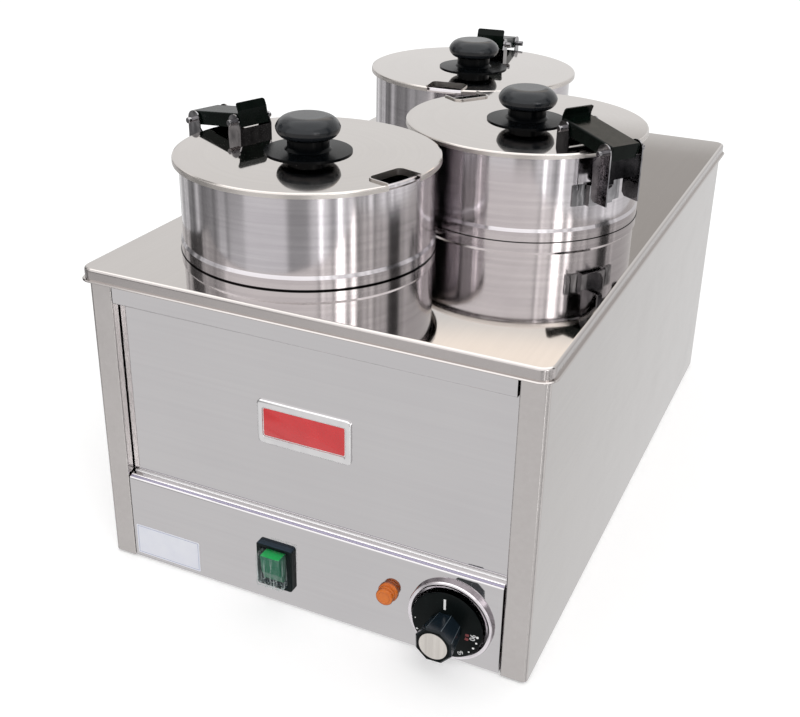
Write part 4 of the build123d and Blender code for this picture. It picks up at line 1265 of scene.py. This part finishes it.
@dataclass
class Studio:
    """Floor, room, lamps and camera."""

    camera_place: Point = (0.3480, -0.8703, 0.5681)
    camera_yaw: float = -24.063
    camera_pitch: float = 24.450
    camera_roll: float = 1.362
    lens: float = 50.36
    shift: Pair = (-0.01375, -0.0608)
    fill: float = 0.80
    floor_size: float = 6.0
    floor_tone: float = 0.86
    floor_glow: float = 0.24
    overhead: Colour = (1.15, 1.14, 1.13)
    lamp_power: float = 0.9
    lamp_width: float = 35.0
    lamp_turn: Point = (38.0, 14.0, 18.0)
    cards: tuple[Card, ...] = (
        Card(18.0, 24.0, -70.0, 4.0, 0.86),
        Card(-135.0, 16.0, -21.5, 12.0, 0.52),
        Card(-108.0, 12.0, -26.0, 12.0, 0.40),
        Card(-84.0, 7.0, -30.0, 12.0, 0.28),
        Card(-62.0, 10.0, -35.0, 10.0, 0.72),
        Card(-30.0, 16.0, -35.0, 5.0, 0.55),
        Card(77.0, 5.0, -35.0, 20.0, 1.25, soft=2.5),
        Card(111.0, 3.0, -35.0, 20.0, 0.8, soft=1.5),
        Card(141.0, 1.6, -35.0, 20.0, 2.4, soft=1.0),
        Card(160.0, 10.0, -26.0, 24.0, 0.46, soft=6.0),
        Card(-11.0, 4.5, 15.0, 25.0, 0.52, 0.03, soft=2.0),
        Card(-16.0, 14.0, 25.5, 42.0, 1.45, 0.09, soft=2.0),
        Card(180.0, 52.0, 11.0, 46.0, 1.8, soft=3.0),
        Card(0.0, 180.0, 46.0, 95.0, 2.2, soft=8.0),
        Card(69.0, 7.0, 8.0, 38.0, 0.07, soft=1.5),
        Card(-87.0, 12.0, 11.0, 26.0, 0.14, soft=2.0),
        Card(123.5, 4.0, 12.0, 30.0, 5.0, soft=1.5),
        Card(123.5, 1.4, -24.0, -8.0, 3.4, soft=1.0),
        Card(112.0, 2.2, 14.0, 30.0, 4.0, soft=1.5),
    )
    streaks: tuple[Streaks, ...] = (
        Streaks(Card(-96.0, 40.0, -60.0, 46.0, 1.0, soft=6.0), 13.0, 0.45, 1.25, 3.7),
        Streaks(Card(98.0, 46.0, -60.0, 46.0, 1.0, soft=6.0), 13.0, 0.35, 1.6, 4.7),
    )

    def build(self) -> None:
        """Build the studio."""
        self.floor()
        self.room()
        self.lamps()
        self.camera()
        bpy.context.scene.view_settings.view_transform = "Standard"

    def floor(self) -> None:
        """Lay the white floor, which keeps the object's shadow."""
        mesh = bmesh.new()
        bmesh.ops.create_grid(mesh, x_segments=2, y_segments=2, size=self.floor_size)
        data = bpy.data.meshes.new("studio_floor")
        mesh.to_mesh(data)
        mesh.free()
        floor = bpy.data.objects.new("studio_floor", data)
        bpy.context.scene.collection.objects.link(floor)
        material = bpy.data.materials.new("floor_white")
        material.use_nodes = True
        wiring = Wiring(material.node_tree)
        path = wiring.add("ShaderNodeLightPath").outputs
        seen = wiring.maths("MAXIMUM", path["Is Camera Ray"], path["Is Transmission Ray"])
        matt = wiring.add("ShaderNodeBsdfDiffuse", {"Color": (*[self.floor_tone] * 3, 1.0)})
        glow = wiring.add("ShaderNodeEmission", {"Strength": wiring.maths("MULTIPLY", seen, self.floor_glow)})
        lit = wiring.add("ShaderNodeAddShader", {0: matt.outputs[0], 1: glow.outputs[0]})
        clear = wiring.add("ShaderNodeBsdfTransparent")
        mix = {0: path["Is Glossy Ray"], 1: lit.outputs[0], 2: clear.outputs[0]}
        both = wiring.add("ShaderNodeMixShader", mix)
        wiring.add("ShaderNodeOutputMaterial", {"Surface": both.outputs[0]})
        data.materials.append(material)

    def room(self) -> None:
        """Wire the room: white behind, even fill, and cards for the steel to show."""
        world = bpy.data.worlds.new("studio_room")
        bpy.context.scene.world = world
        world.use_nodes = True
        wiring = Wiring(world.node_tree)
        aim = wiring.split(wiring.add("ShaderNodeTexCoord").outputs["Generated"])
        ray = (wiring.maths("ARCTAN2", aim[0], aim[1]), wiring.maths("ARCSINE", aim[2]))
        high = wiring.spread(ray[1], 0.0, 1.0, math.radians(20.0), math.radians(45.0), True)
        shade = wiring.blend(high, WHITE, self.overhead)
        for card in self.cards:
            shade = wiring.blend(card.mask(wiring, ray), shade, card.colour())
        for streaks in self.streaks:
            shade = streaks.over(wiring, ray, shade)
        path = wiring.add("ShaderNodeLightPath").outputs
        inside = wiring.blend(path["Is Glossy Ray"], (self.fill, self.fill, self.fill), shade)
        seen = wiring.maths("MAXIMUM", path["Is Camera Ray"], path["Is Transmission Ray"])
        colour = wiring.blend(seen, inside, WHITE)
        back = wiring.add("ShaderNodeBackground", {"Color": colour, "Strength": 1.0})
        wiring.add("ShaderNodeOutputWorld", {"Surface": back.outputs[0]})
        world.cycles.sampling_method = "NONE"

    def lamps(self) -> None:
        """Hang one broad soft lamp up to the right of the camera."""
        light = bpy.data.lights.new("key_lamp", "SUN")
        light.energy = self.lamp_power
        light.angle = math.radians(self.lamp_width)
        lamp = bpy.data.objects.new("key_lamp", light)
        lamp.rotation_euler = tuple(math.radians(angle) for angle in self.lamp_turn)
        lamp.visible_glossy = False
        bpy.context.scene.collection.objects.link(lamp)

    def camera(self) -> None:
        """Set the camera at the photograph's viewing angle."""
        yaw, pitch, roll = (math.radians(a) for a in (self.camera_yaw, self.camera_pitch, self.camera_roll))
        level = Vector((math.sin(yaw), math.cos(yaw), 0.0))
        right = Vector((math.cos(yaw), -math.sin(yaw), 0.0))
        up = Vector((0.0, 0.0, 1.0))
        forward = level * math.cos(pitch) - up * math.sin(pitch)
        upward = up * math.cos(pitch) + level * math.sin(pitch)
        side = right * math.cos(roll) + upward * math.sin(roll)
        top = upward * math.cos(roll) - right * math.sin(roll)
        data = bpy.data.cameras.new("photo_camera")
        data.lens = self.lens
        data.sensor_width = 36.0
        data.shift_x, data.shift_y = self.shift
        data.clip_start = 0.02
        camera = bpy.data.objects.new("photo_camera", data)
        turn = Matrix((side, top, -forward)).transposed().to_4x4()
        camera.matrix_world = Matrix.Translation(self.camera_place) @ turn
        bpy.context.scene.collection.objects.link(camera)
        bpy.context.scene.camera = camera



def main() -> None:
    """Build every sub-assembly in order."""
    logging.basicConfig(level=logging.INFO, format="%(message)s")
    steps: list[tuple[str, Callable[[], None]]] = [
        ("studio", Studio().build),
        ("housing", Housing().build),
        ("well", WellGroup().build),
        ("controls", Controls().build),
    ]
    steps += [(f"{name} pot", PotSet(name).build) for name in POT_NAMES]
    for title, build in steps:
        LOG.info("== %s", title)
        build()


if __name__ == "__main__":
    main()
